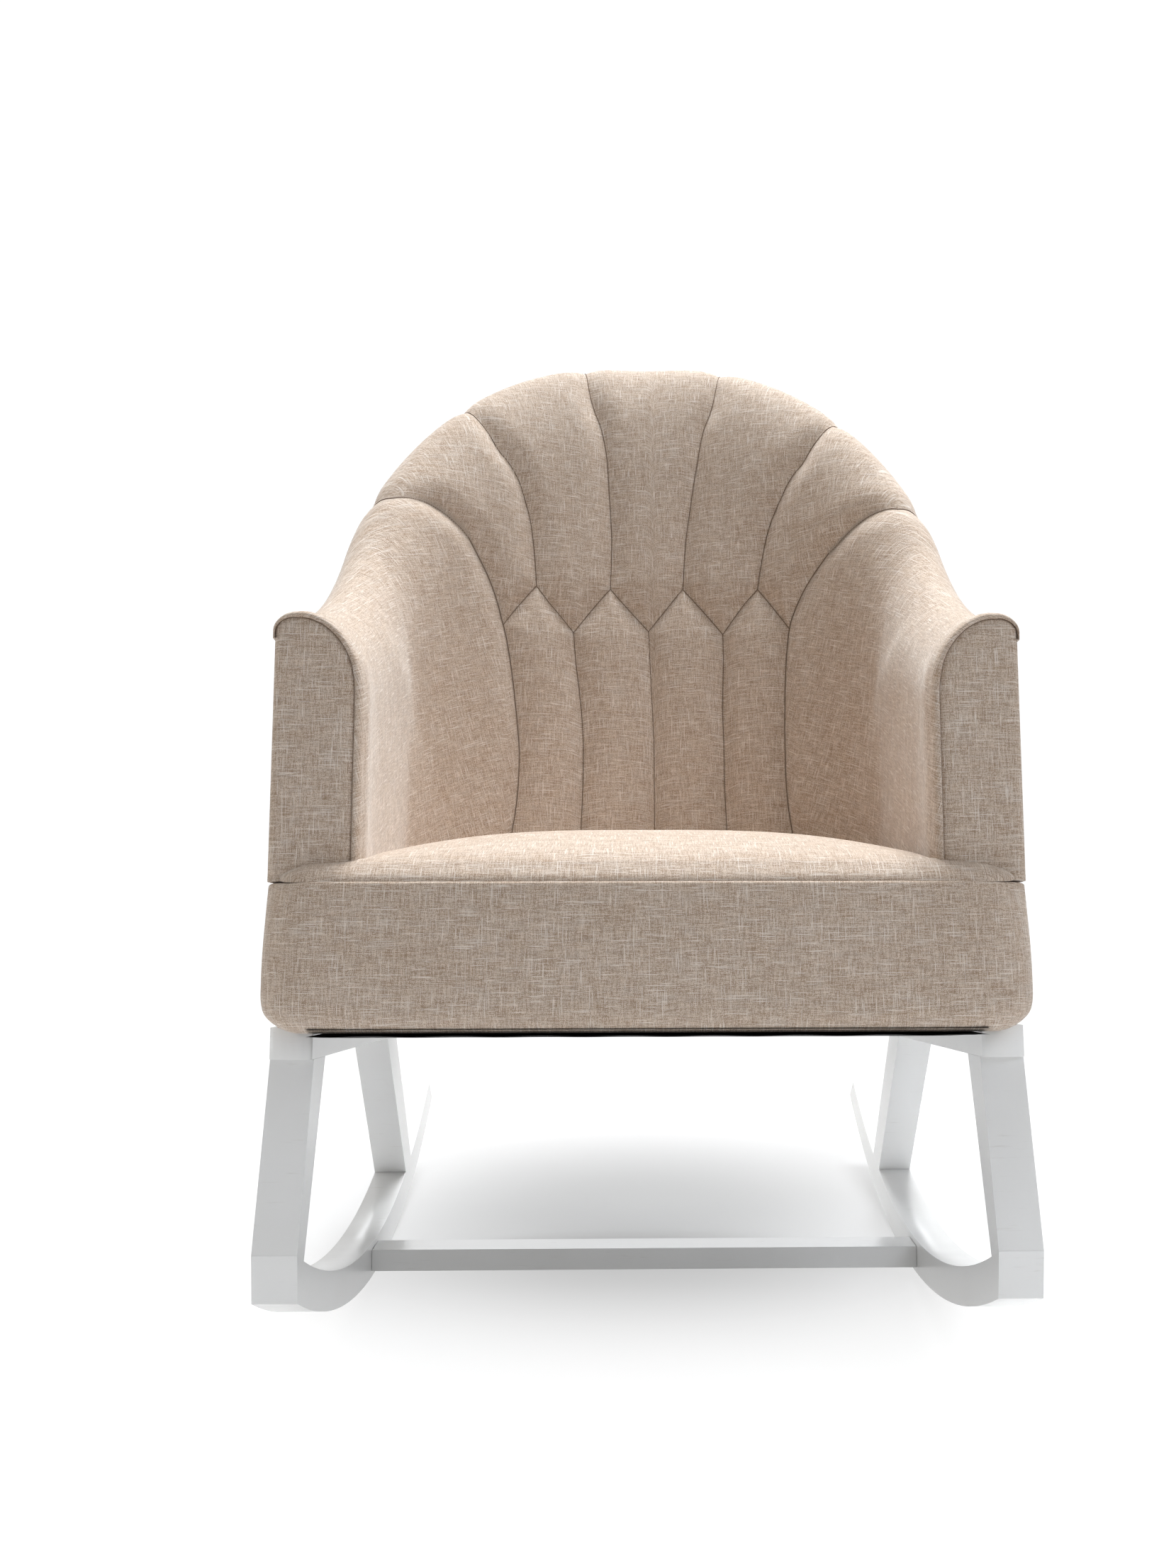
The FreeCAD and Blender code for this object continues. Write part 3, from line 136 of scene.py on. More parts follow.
eased_width = 0.0012
one_skin_gap = 0.00002
sharp_edge = math.radians(40)
painted = ["front_stretcher"]
for side in ("left", "right"):
    painted += [side + "_" + piece for piece in ("rocker", "front_leg", "back_leg", "seat_rail")]
for name in painted:
    node = frame["nodes"][name]
    node.data.materials.clear()
    node.data.materials.append(lacquer)
    weld = node.modifiers.new("one_skin", "WELD")
    weld.merge_threshold = one_skin_gap
    eased = node.modifiers.new("eased_arrises", "BEVEL")
    eased.width = eased_width
    eased.segments = 2
    eased.limit_method = "ANGLE"
    eased.angle_limit = sharp_edge
    eased.harden_normals = True


# ---------------------------------------------------------------- what the upholstery hides
# The seat frame, posts, boards and bent shell are bare timber, the bolts are zinc plated,
# and webbing, deck cloth and the black dust cover under the seat are plain textiles.

timber, tree, surface = new_shader("bare_beech")
early_wood = (0.56, 0.40, 0.25, 1)
late_wood = (0.40, 0.26, 0.15, 1)
figure_run = (25, 140, 260)
spots = add(tree, "TexCoord").outputs["Object"]
grain = noise(tree, stretched(tree, spots, figure_run), detail=4.0, roughness=0.6)
finish(tree, surface, mixed(tree, rise(tree, grain, 0.35, 0.7), early_wood, late_wood), {"Roughness": 0.7})

zinc, tree, surface = new_shader("zinc_plate")
dull_zinc = (0.50, 0.51, 0.53, 1)
bright_zinc = (0.66, 0.67, 0.69, 1)
crystals = noise(tree, add(tree, "TexCoord").outputs["Object"], 900.0)
finish(tree, surface, mixed(tree, crystals, dull_zinc, bright_zinc), {"Metallic": 1.0, "Roughness": 0.38})

strap, tree, surface = new_shader("elastic_strap")
rib_groove = (0.20, 0.15, 0.11, 1)
rib_top = (0.34, 0.28, 0.22, 1)
spots = add(tree, "TexCoord").outputs["Object"]
ribs = add(tree, "TexWave", {"Vector": spots, "Scale": 160.0}).outputs["Fac"]
finish(tree, surface, mixed(tree, ribs, rib_groove, rib_top), {"Roughness": 0.9})

black_cloth, tree, surface = new_shader("black_cloth")
black = (0.008, 0.008, 0.009, 1)
fibre_grey = (0.03, 0.03, 0.032, 1)
fibres = noise(tree, add(tree, "TexCoord").outputs["Object"], 1400.0, 3.0)
finish(tree, surface, mixed(tree, fibres, black, fibre_grey), {"Roughness": 0.95},
       bump(tree, fibres, 0.0002))

finishes = {"frame_wood": timber, "zinc_steel": zinc, "webbing": strap, "black_cloth": black_cloth}
for part in frame["record"]["subparts"]:
    if part["material_slot"] in finishes:
        node = frame["nodes"][part["node"]]
        node.data.materials.clear()
        node.data.materials.append(finishes[part["material_slot"]])


# ---------------------------------------------------------------- seat borders
# The padded band round the seat frame: a front piece round both corners, and a side and back piece.
# It is covered in a linen-look cloth, oatmeal with pale slubs both ways, and bulges a little.

def woven_cloth(name):
    """Plain weave of a heathered thread, with thick pale slubs in the warp and in the weft."""
    dark_yarn = (0.345, 0.242, 0.168, 1)
    light_yarn = (0.715, 0.603, 0.503, 1)
    warm_yarn = (0.51, 0.355, 0.235, 1)
    cool_yarn = (0.57, 0.51, 0.46, 1)
    slub_yarn = (0.85, 0.785, 0.72, 1)
    yarn_pitch = 0.00075
    yarn_height = 0.0004
    padding_give = 0.0035
    material, tree, surface = new_shader(name)
    threads = add(tree, "UVMap", uv_map="threads").outputs["UV"]

    def streaks(along, across, seed):
        return noise(tree, stretched(tree, threads, (along, across, 1), seed), roughness=0.55)

    def yarns(along, seed, upright=False):
        """Yarns laid side by side, each with its own run of light and dark along it."""
        whole = 0.00001
        apart = 7.3 / yarn_pitch
        step, scale = (whole, yarn_pitch, 1), (along, apart, 1)
        if upright:
            step, scale = (yarn_pitch, whole, 1), (apart, along, 1)
        each = add(tree, "VectorMath", {0: threads, 1: step}, operation="SNAP").outputs["Vector"]
        return noise(tree, stretched(tree, each, scale, seed), detail=1.0)

    def total(first, second):
        return add(tree, "Math", {0: first, 1: second}, operation="ADD").outputs[0]

    def share_of(factor, share):
        return add(tree, "Math", {0: factor, 1: share}, operation="MULTIPLY").outputs[0]

    over = add(tree, "TexChecker", {"Vector": threads, "Scale": 1 / yarn_pitch}).outputs["Fac"]
    weft = yarns(70, (61, 67, 1))
    warp = yarns(70, (71, 73, 5), upright=True)
    woven = add(tree, "Mix", {0: over, 2: weft, 3: warp}).outputs[0]
    grain = total(woven, share_of(streaks(700, 700, (43, 47, 9)), 0.7))
    tone = mixed(tree, rise(tree, grain, 0.60, 1.10), dark_yarn, light_yarn)
    warm = rise(tree, streaks(60, 150, (37, 41, 8)), 0.45, 0.68)
    cool = rise(tree, streaks(45, 110, (29, 31, 6)), 0.45, 0.70)
    tone = mixed(tree, share_of(warm, 0.15), tone, warm_yarn)
    tone = mixed(tree, share_of(cool, 0.15), tone, cool_yarn)
    weft_slubs = share_of(rise(tree, yarns(32, (3, 1, 0)), 0.60, 0.72), 0.58)
    warp_slubs = share_of(rise(tree, yarns(36, (7, 5, 0), upright=True), 0.60, 0.72), 0.56)
    for slubs in (weft_slubs, warp_slubs):
        tone = mixed(tree, slubs, tone, slub_yarn)

    raised = total(woven, total(weft_slubs, warp_slubs))
    soft = noise(tree, stretched(tree, threads, (16, 16, 1)))
    relief = bump(tree, raised, yarn_height, 0.55, bump(tree, soft, padding_give, 0.5))
    plain = {"Roughness": 0.92, "Specular IOR Level": 0.2, "Sheen Weight": 0.27, "Sheen Roughness": 0.38,
             "Sheen Tint": (0.95, 0.99, 1.0, 1)}
    finish(tree, surface, tone, plain, relief)
    return material


cloth = woven_cloth("oatmeal_linen_look")

# The chair is drawn level, in millimetres, and stands rolled back on its rockers.
roll_back = math.radians(7.42)
rocker_radius = 842.0
floor_contact = frame["record"]["mounts"][0]["pos_m"][1] * 1000


def stood_up(points):
    """From millimetres in the chair's own level frame to metres on the floor, rolled back as it rests."""
    points = np.asarray(points, float)
    y, z = points[..., 1], points[..., 2] - rocker_radius
    back = math.cos(roll_back) * y + math.sin(roll_back) * z + floor_contact
    up = math.cos(roll_back) * z - math.sin(roll_back) * y + rocker_radius
    return np.stack([points[..., 0], back, up], -1) / 1000


def upholster(name, grid, threads, ring=False, material=cloth):
    """A covered pad over a grid of points; threads are lengths along the cloth's two directions, in
    metres. With ring, the grid's second direction closes on itself and both ends are stopped."""
    rows, columns = grid.shape[:2]
    faces = []
    uvs = []
    for i in range(rows - 1):
        for j in range(columns if ring else columns - 1):
            k = (j + 1) % columns
            faces.append((i * columns + j, (i + 1) * columns + j, (i + 1) * columns + k, i * columns + k))
            uvs += [threads[i, j], threads[i + 1, j], threads[i + 1, j + 1], threads[i, j + 1]]
    if ring:
        for i, order in ((0, range(columns)), (rows - 1, range(columns - 1, -1, -1))):
            faces.append(tuple(i * columns + j for j in order))
            uvs += [threads[i, j] for j in order]
    mesh = bpy.data.meshes.new(name)
    mesh.from_pydata(stood_up(grid).reshape(-1, 3).tolist(), [], faces)
    layer = mesh.uv_layers.new(name="threads")
    layer.data.foreach_set("uv", np.array(uvs, np.float32).ravel())
    mesh.materials.append(material)
    mesh.polygons.foreach_set("use_smooth", [True] * len(faces))
    mesh.update()
    piece = bpy.data.objects.new(name, mesh)
    bpy.context.scene.collection.objects.link(piece)
    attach(piece, "root")
    return piece


def lengths(points):
    """Running length along a row of points, in metres."""
    steps = np.linalg.norm(np.diff(points, axis=0), axis=1)
    return np.concatenate([[0.0], np.cumsum(steps)]) / 1000


def part_way(distance, reach):
    """How far a distance gets along a reach, from 0 to 1."""
    return np.clip(distance / reach, 0, 1)


def eased(share):
    """From 0 to 1 with a smooth start and a smooth stop."""
    return share * share * (3 - 2 * share)


def swelled(share, fullness=2.0):
    """From 0 to 1, steep first and then level, as padding rises from a seam."""
    return 1 - (1 - share) ** fullness


def near(distance, reach):
    """1 at no distance, and next to nothing at twice the reach."""
    return np.exp(-(distance / reach) ** 2)


seat_half = round(cad_box[1][0] * 1000, 1)
seat_front = -293.0
front_corner = 45.0
bend_start = 20.0
tub_half = seat_half - 2
arm_front = -265.0
low = 257.4
seam = 380.0
lean = math.tan(math.radians(9))
lean_height = 440.0
back_reach = 242.0 - bend_start
seat_reach = back_reach + (seam - lean_height) * lean + seat_half - tub_half

# The band's line in plan, from the middle of the front round the right side and back round the left.
turn = np.linspace(0, math.pi / 2, 16)
front_line = [(x, seat_front) for x in np.linspace(0, seat_half - front_corner, 60)[:-1]]
corner_arc = [(seat_half - front_corner * (1 - math.sin(a)), seat_front + front_corner * (1 - math.cos(a)))
              for a in turn]
side_line = [(seat_half, y) for y in np.linspace(seat_front + front_corner, bend_start, 60)[1:-1]]
back_arc = [(seat_half * math.cos(a), bend_start + seat_reach * math.sin(a))
            for a in np.linspace(0, math.pi / 2, 70)]
right_half = np.array(front_line + corner_arc + side_line + back_arc)
plan = np.concatenate([right_half, right_half[-2:0:-1] * (-1, 1)])
tangent = np.roll(plan, -1, 0) - np.roll(plan, 1, 0)
tangent /= np.linalg.norm(tangent, axis=1)[:, None]
outward = np.stack([tangent[:, 1], -tangent[:, 0]], 1)

# Its section: out along the underside, up the rounded face and in under the top seam.
edge_round = 19.0
seam_round = 2.5
under_seam = seam - 3
face_proud = 0.5
section = [(-16.0, low), (-edge_round, low)]
section += [(-edge_round * (1 - math.sin(a)), low + edge_round * (1 - math.cos(a))) for a in turn[1:]]
section += [(0.0, z) for z in np.linspace(low + edge_round, under_seam, 28)[1:]]
section += [(-seam_round * (1 - math.cos(a)), under_seam + seam_round * math.sin(a)) for a in turn[3::3]]
section.append((-9.0, seam - 1.5))
section = np.array(section)
section[2:, 0] += face_proud

# The seam draws the top of the face in, most at the front and at the two corners, and the cover is
# taken in under the corners where it is stapled.
side_pull, front_pull, corner_pull = 0.5, 6.0, 3.0
pull_from = 305.0
front_zone, front_ease = -235.0, 45.0
under_pull, under_reach = 12.0, 32.0
corner_reach, side_reach = 30.0, 42.0
drawn_in = part_way(section[:, 1] - pull_from, seam - pull_from) ** 1.7
drawn_in[:2] = 0
taken_in = under_pull * part_way(low + under_reach - section[:, 1], under_reach) ** 2.2
on_arc = front_corner * (1 - math.sqrt(0.5))
right_side = np.abs(plan) * (1, -1)
to_corner = np.linalg.norm(right_side - (seat_half - on_arc, seat_front + on_arc), axis=1)
to_side = np.linalg.norm(right_side - (seat_half, seat_front + 38), axis=1)
front_share = eased(part_way(front_zone - plan[:, 1], front_ease))
pull = side_pull + (front_pull - side_pull) * front_share + corner_pull * near(to_corner, corner_reach)
under_share = near(to_side, side_reach)

joint = -205.0
end_pull, end_reach = 3.0, 1.2
up_the_band = np.append(lengths(section), lengths(section)[-1] + 0.12)


def joint_on(side):
    """Where the front and the side piece meet, on the right for 1 and on the left for -1."""
    wrong_side = plan[:, 0] * side < 0
    return int(np.argmin(np.abs(plan[:, 1] - joint) + wrong_side * 1000))


front_run = list(range(joint_on(-1), len(plan))) + list(range(joint_on(1) + 1))
rear_run = list(range(joint_on(1), joint_on(-1) + 1))
for name, stretch, node, off_cut in (("seat_front_band", front_run, "seat_border_front", 0.0),
                                     ("seat_side_band", rear_run, "seat_border_rear", 2.0)):
    count = np.arange(len(stretch))
    at_ends = end_pull * near(np.minimum(count, count[::-1]), end_reach)
    inset = at_ends[:, None] + pull[stretch, None] * drawn_in + under_share[stretch, None] * taken_in
    spots = plan[stretch, None] + outward[stretch, None] * (section[:, 0] - inset)[..., None]
    heights = np.broadcast_to(section[:, 1], inset.shape)
    grid = np.concatenate([spots, heights[..., None]], axis=2)
    threads = np.empty((len(stretch), len(section) + 1, 2))
    threads[..., 0] = lengths(plan[stretch])[:, None] + off_cut
    threads[..., 1] = up_the_band
    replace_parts(upholster(name, grid, threads, ring=True), node)


# ---------------------------------------------------------------- seat cushion
# Foam over springs, fixed to the seat frame: domed, with a rounded front lip sewn to the front band.
# It tucks down all round against the arms and the back.

back_height = 1079.0
arm_height = 610.0
wall = 67.0
wide_reach = back_reach + ((lean_height + back_height) / 2 - lean_height) * lean
straight_length = bend_start - arm_front
round_length = math.pi / 2 * math.sqrt((tub_half ** 2 + wide_reach ** 2) / 2)
straight_share = straight_length / (straight_length + round_length)


def tub_point(way, depth, height):
    """A point in the tub's wall: way runs from -1 (left arm's front) over 0 (back) to 1 (right arm's
    front), and depth is how far the point lies inside the outer face."""
    way, depth, height = np.broadcast_arrays(np.asarray(way, float), depth, height)
    share = 1 - np.abs(way)
    angle = np.clip(math.pi / 2 * (1 - share) / (1 - straight_share), 0, math.pi / 2)
    across = np.sign(way) * wide_reach * np.sin(angle)
    rearward = tub_half * np.cos(angle)
    scale = np.hypot(across, rearward)
    x = np.sign(way) * tub_half * np.sin(angle) - across / scale * depth
    along_arm = arm_front + straight_length * share / straight_share
    round_back = bend_start + back_reach * np.cos(angle)
    y = np.where(share <= straight_share, along_arm, round_back) - rearward / scale * depth
    return np.stack([x, y + lean * np.cos(angle) * (height - lean_height), height], -1)


def rounded(share):
    """Height of a quarter round, from 0 at its foot to 1 at its top."""
    return np.sqrt(1 - (1 - share) ** 2)


seat_level = 424.0
lip_set_back = front_pull + 1.5
lip_front = seat_front + lip_set_back
lip_side = seat_half - lip_set_back
lip_corner = 38.0
lip_height, lip_depth = 17.0, 34.0
crown_height, crown_place = 44.0, -70.0
crown_ahead, crown_behind, crown_half = 215.0, 245.0, 250.0
back_fall, side_fall = 20.0, 0.62
tuck_depth, side_tuck, back_tuck = 15.0, 22.0, 24.0
pressed, narrowing = 3.0, 2.2
hidden_level = 361.0

rows, columns = 150, 190
seat_back = tub_point(0.0, wall, seat_level)[1]
side_curve = tub_point(np.linspace(0.001, 1, 400), wall, seat_level)[:, :2][::-1]
from_front = lip_front + (seat_back - lip_front) * np.linspace(0, 1, rows) ** 1.5
spread = np.linspace(-1, 1, columns)
spread = 0.3 * spread + 0.7 * np.sin(math.pi / 2 * spread)
grid = np.empty((rows, columns, 3))
for i, y in enumerate(from_front):
    inner_half = tub_half - wall
    if y > arm_front:
        inner_half = np.interp(y, side_curve[:, 1], side_curve[:, 0])
    # The cushion spans the lip's full width in front of the arms, and narrows to pass between them.
    corner_in = max(lip_corner - (y - lip_front), 0.0)
    lip_half = lip_side - (lip_corner - math.sqrt(lip_corner ** 2 - corner_in ** 2))
    between_arms = 1 / (1 + math.exp(-(y - arm_front - 3) / narrowing))
    x = spread * (lip_half * (1 - between_arms) + (inner_half + pressed) * between_arms)
    past_x = np.maximum(np.abs(x) - (lip_side - lip_corner), 0)
    from_corner = lip_corner - np.hypot(past_x, corner_in)
    from_sides = np.minimum(y - lip_front, lip_half - np.abs(x))
    from_edge = np.where((past_x > 0) & (corner_in > 0), from_corner, from_sides)
    lip = lip_height * rounded(part_way(from_edge, lip_depth))
    crown = crown_height - back_fall * ((y - crown_place) / crown_behind) ** 2
    if y < crown_place:
        crown = crown_height * (1 - ((y - crown_place) / crown_ahead) ** 2)
    crown = crown * (1 - side_fall * np.clip(np.abs(x) / crown_half, 0, 1.3) ** 3.2)
    beside = part_way(inner_half - np.abs(x), side_tuck) if y > arm_front + 6 else np.ones(columns)
    behind = part_way(seat_back - y, back_tuck)
    tucked = tuck_depth * (1 - rounded(beside)) + tuck_depth * (1 - rounded(behind))
    grid[i, :, 0] = x
    grid[i, :, 1] = y
    grid[i, :, 2] = seam - 1 + lip + crown * part_way(from_edge, 12) - tucked
under = grid[::-1].copy()
under[..., 2] = np.where(under[..., 1] < arm_front + 2, under_seam, hidden_level)
grid = np.concatenate([grid, under])
threads = np.empty((2 * rows, columns, 2))
threads[..., 0] = grid[..., 0] / 1000 + 5
threads[..., 1] = np.concatenate([lengths(grid[:rows, columns // 2]), np.zeros(rows)])[:, None] + 1
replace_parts(upholster("seat_cushion_cover", grid, threads), "seat_cushion")


# ---------------------------------------------------------------- tub lining
# The inside back and arms in one: four lower channels meet five upper ones in a zigzag, between two wings
# that sweep from the rim down to the seat. The cover rolls over the rim and over the arms' front edge.

def rim_height(way):
    """Height of the rim: level on the arms' fronts, an S up to the back with a sag low on its climb."""
    sag = 26.0
    climb = np.clip((1 - np.abs(way)) / 0.95, 0, 1)
    early = climb ** 0.755
    return arm_height + (back_height - arm_height) * eased(climb) - sag * (4 * early * (1 - early)) ** 6


def inner_round(way):
    """Height of the rounding on the rim's inner side: short on the arms, a long soft roll on the back."""
    on_arms, on_back = 73.0, 160.0
    return on_arms + (on_back - on_arms) * eased(part_way(0.9 - np.abs(way), 0.4))


rim_round = 20.0
foot = 360.0
face_share = 0.6
rim_end = 1.12


def lining_point(way, rise_share):
    """A point of the lining: up the inner face to face_share, over the rim to 1, down its outer side."""
    rim = rim_height(way)
    round_high = inner_round(way)
    up = part_way(rise_share, face_share)
    over = part_way(rise_share - face_share, 1 - face_share) * math.pi / 2
    down = part_way(rise_share - 1, rim_end - 1) * math.pi / 2
    depth = wall - (wall - rim_round) * (1 - np.cos(over)) - rim_round * np.sin(down)
    height = foot + (rim - round_high - foot) * up + round_high * np.sin(over)
    return tub_point(way, depth, height - rim_round * (1 - np.cos(down)))


def smooth_line(points):
    """A curve through points given as way and rise_share, in short steps."""
    points = np.array(points, float)
    padded = np.vstack([2 * points[0] - points[1], points, 2 * points[-1] - points[-2]])
    line = []
    for a, b, c, d in zip(padded, padded[1:], padded[2:], padded[3:]):
        for t in np.linspace(0, 1, 40, endpoint=False):
            bend = (2 * a - 5 * b + 4 * c - d) * t ** 2 + (3 * b - a - 3 * c + d) * t ** 3
            line.append(0.5 * (2 * b + (c - a) * t + bend))
    line.append(points[-1])
    return np.array(line)


# The seams of the right half: wing and upper channels run down from the rim's outer side, the zigzag from
# the wing to the middle, and the lower channels from the zigzag down.
wing_seam = [(0.522, 1.12), (0.524, 1.04), (0.522, 0.97), (0.512, 0.92), (0.496, 0.87), (0.471, 0.81),
             (0.432, 0.73), (0.390, 0.65), (0.345, 0.57), (0.300, 0.49), (0.272, 0.425), (0.257, 0.36),
             (0.247, 0.28), (0.243, 0.22), (0.246, 0.165), (0.256, 0.115), (0.275, 0.03)]
outer_seam = [(0.339, 1.12), (0.338, 1.0), (0.335, 0.92), (0.324, 0.845), (0.298, 0.745), (0.277, 0.695),
              (0.259, 0.65), (0.242, 0.60), (0.228, 0.565), (0.218, 0.53), (0.209, 0.485), (0.205, 0.457)]
inner_seam = [(0.118, 1.12), (0.118, 1.0), (0.117, 0.88), (0.1125, 0.80), (0.1055, 0.755), (0.095, 0.71),
              (0.087, 0.66), (0.080, 0.60), (0.073, 0.55), (0.067, 0.50), (0.065, 0.436)]
zigzag = [(0.270, 0.420), (0.205, 0.457), (0.1345, 0.379), (0.065, 0.436), (0.0, 0.378)]
low_seam = [(0.1345, 0.379), (0.1325, 0.34), (0.128, 0.30), (0.1245, 0.25), (0.124, 0.18), (0.127, 0.115),
            (0.131, 0.03)]
middle_seam = [(0.0, 0.378), (0.0, 0.2), (0.001, 0.03)]
seam_lines = [smooth_line(middle_seam)]
for side in (-1, 1):
    for line in (wing_seam, outer_seam, inner_seam, low_seam):
        seam_lines.append(smooth_line(line) * (side, 1))
    for start, end in zip(zigzag, zigzag[1:]):
        seam_lines.append(np.linspace(start, end, 60) * (side, 1))


def pattern_shift(way, rise_share):
    """The sewn pattern sits a little to one side, more so above and below the zigzag."""
    shift = 0.007 + 0.012 * part_way(np.abs(rise_share - 0.43), 0.2)
    return shift * np.clip(1 - (np.abs(way) / 0.6) ** 4, 0, 1)


for line in seam_lines:
    line[:, 0] += pattern_shift(line[:, 0], line[:, 1])
seam_points = np.concatenate([lining_point(line[:, 0], line[:, 1]) for line in seam_lines])

# Each wing turns into its arm along a soft fold.
fold = [(0.775, 0.95), (0.747, 0.85), (0.727, 0.79), (0.704, 0.73), (0.662, 0.665), (0.614, 0.61),
        (0.586, 0.54), (0.571, 0.47), (0.530, 0.38), (0.500, 0.30), (0.484, 0.24), (0.479, 0.19),
        (0.483, 0.15), (0.49, 0.03)]
fold = smooth_line(fold)
fold_points = np.concatenate([lining_point(side * fold[:, 0], fold[:, 1]) for side in (-1, 1)])
fold_ways = np.concatenate([fold[:, 0], fold[:, 0]])


def nearest(cloud, points):
    """Distance from each point to a cloud of points, and which one it is."""
    tree = kdtree.KDTree(len(cloud))
    for index, spot in enumerate(cloud):
        tree.insert(spot, index)
    tree.balance()
    found = [tree.find(spot) for spot in points.reshape(-1, 3)]
    distance = np.array([f[2] for f in found]).reshape(points.shape[:-1])
    index = np.array([f[1] for f in found]).reshape(points.shape[:-1])
    return distance, index


edge_roll = 12.0
front_way = 1 - straight_share * edge_roll / straight_length
back_way = 0.62
ways = np.concatenate([np.linspace(-front_way, -back_way, 70)[:-1], np.linspace(-back_way, back_way, 480),
                       np.linspace(back_way, front_way, 70)[1:]])
rises = np.concatenate([np.linspace(0, face_share, 220)[:-1], np.linspace(face_share, 1, 40)[:-1],
                        np.linspace(1, rim_end, 11)])
grid = lining_point(ways[:, None], rises[None, :])
towards_sitter = np.cross(np.gradient(grid, axis=0), np.gradient(grid, axis=1))
towards_sitter /= np.linalg.norm(towards_sitter, axis=-1)[..., None]

# Padding swells between the seams, folds where a wing turns into its arm, and is full at the arms' ends.
seam_sink, pillow_height, pillow_reach, fullness = 9.0, 12.5, 38.0, 2.3
to_seam = nearest(seam_points, grid)[0]
pillow = pillow_height * swelled(part_way(to_seam, pillow_reach), fullness) - seam_sink
on_rim = np.clip((1 - rises) / 0.25, 0.4, 1) * part_way(rim_end - rises, 0.03)

crease_step, crease_lift, crease_width, crease_reach = 1.4, 0.4, 16.0, 46.0
to_fold, which = nearest(fold_points, grid)
to_arm = to_fold * np.sign(np.abs(ways)[:, None] - fold_ways[which])
crease = (crease_step * np.tanh(to_arm / crease_width) + crease_lift) * near(to_arm, crease_reach)
below_rim = part_way(0.92 - rises, 0.2)

end_height, end_width, end_fade = 7.0, 14.0, 26.0
from_end = (front_way - np.abs(ways)) * straight_length / straight_share
end_padding = end_height * (1 + from_end / end_width) * np.exp(-from_end / end_fade)
end_padding = end_padding[:, None] * part_way(1 - rises, 0.3)
grid = grid + towards_sitter * (pillow * on_rim + crease * below_rim + end_padding)[..., None]

# The cover goes on under the roll, where the shell and the outside panels hide it, and back to its foot.
hidden_depth = 24.3
rim = rim_height(ways)[:, None]
under_roll = rim - rim_round - 3.5
hidden = [tub_point(ways[:, None], depth, under_roll) for depth in (0.0, hidden_depth)]
hidden.append(tub_point(ways[:, None], hidden_depth, np.full_like(rim, foot)))
loops = np.concatenate([grid] + hidden, axis=1)

# Both ends turn forwards over the arm's front edge and dip into the seam of the front panel.
visible = len(rises) + 1
inner_row = 40
turned_in, tuck_round, seam_dip = 5.0, 2.0, 3.0
edge_path = [(turned_in * (1 - math.cos(a)), edge_roll * math.sin(a))
             for a in np.linspace(0, math.pi / 2, 9)[1:]]
edge_path += [(turned_in + tuck_round * math.sin(a), edge_roll - seam_dip * (1 - math.cos(a)))
              for a in np.linspace(0, math.pi / 2, 5)[1:]]
edge_path.append((turned_in + tuck_round + 0.5, 1.0))
thinning = np.append(1 - 0.75 * part_way(rises - 1, rim_end - 1), 0.25)[:, None]


def turned_end(loop):
    """Copies of the lining's end loop, each further forwards and further in."""
    ahead = np.gradient(loop[:visible][:, [0, 2]], axis=0)
    into_wall = np.stack([-ahead[:, 1], ahead[:, 0]], 1) / np.linalg.norm(ahead, axis=1)[:, None]
    into_wall *= np.sign(into_wall[inner_row, 0] * loop[inner_row, 0])
    turned = []
    for tucked, forward in edge_path:
        copied = loop.copy()
        copied[:visible, [0, 2]] += into_wall * tucked * thinning
        copied[:, 1] -= forward
        turned.append(copied)
    return turned


left_end = turned_end(loops[0])
right_end = turned_end(loops[-1])
loops = np.array(left_end[::-1] + list(loops) + right_end)
seam_edges = {"left": left_end[-2][:visible], "right": right_end[-2][:visible]}

# The cloth is cut separately for the wings and the arms, at a slant to that of the back.
cut_slant = math.radians(20)
along = np.repeat(lengths(loops[:, inner_row])[:, None], loops.shape[1] + 1, axis=1)
up = np.stack([lengths(loop) for loop in loops])
up = np.concatenate([up, up[:, -1:] + 0.3], axis=1)
wing_edge = smooth_line(wing_seam)[::-1]
wing_way = np.interp(rises, wing_edge[:, 1], wing_edge[:, 0])
own_way = ways[:, None] - pattern_shift(ways[:, None], rises)
ends = len(edge_path)
slant = np.zeros(along.shape)
slant[ends:-ends, :len(rises)] = np.where(np.abs(own_way) > wing_way, -np.sign(own_way), 0)
slant[:ends], slant[-ends:] = 1, -1
slant[:, -1] = slant[:, 0]
slant *= cut_slant
threads = np.stack([along * np.cos(slant) + up * np.sin(slant),
                    up * np.cos(slant) - along * np.sin(slant)], -1)
lining = upholster("tub_lining", loops, threads, ring=True)
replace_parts(lining, "inside_back", "left_inside_arm", "right_inside_arm")


# ---------------------------------------------------------------- arm front panels
# A separate padded panel closes the front of each arm: foam on the arm post under the same cloth, sewn in
# just behind the lining's rolled edge and standing on the top seam of the seat's front border.

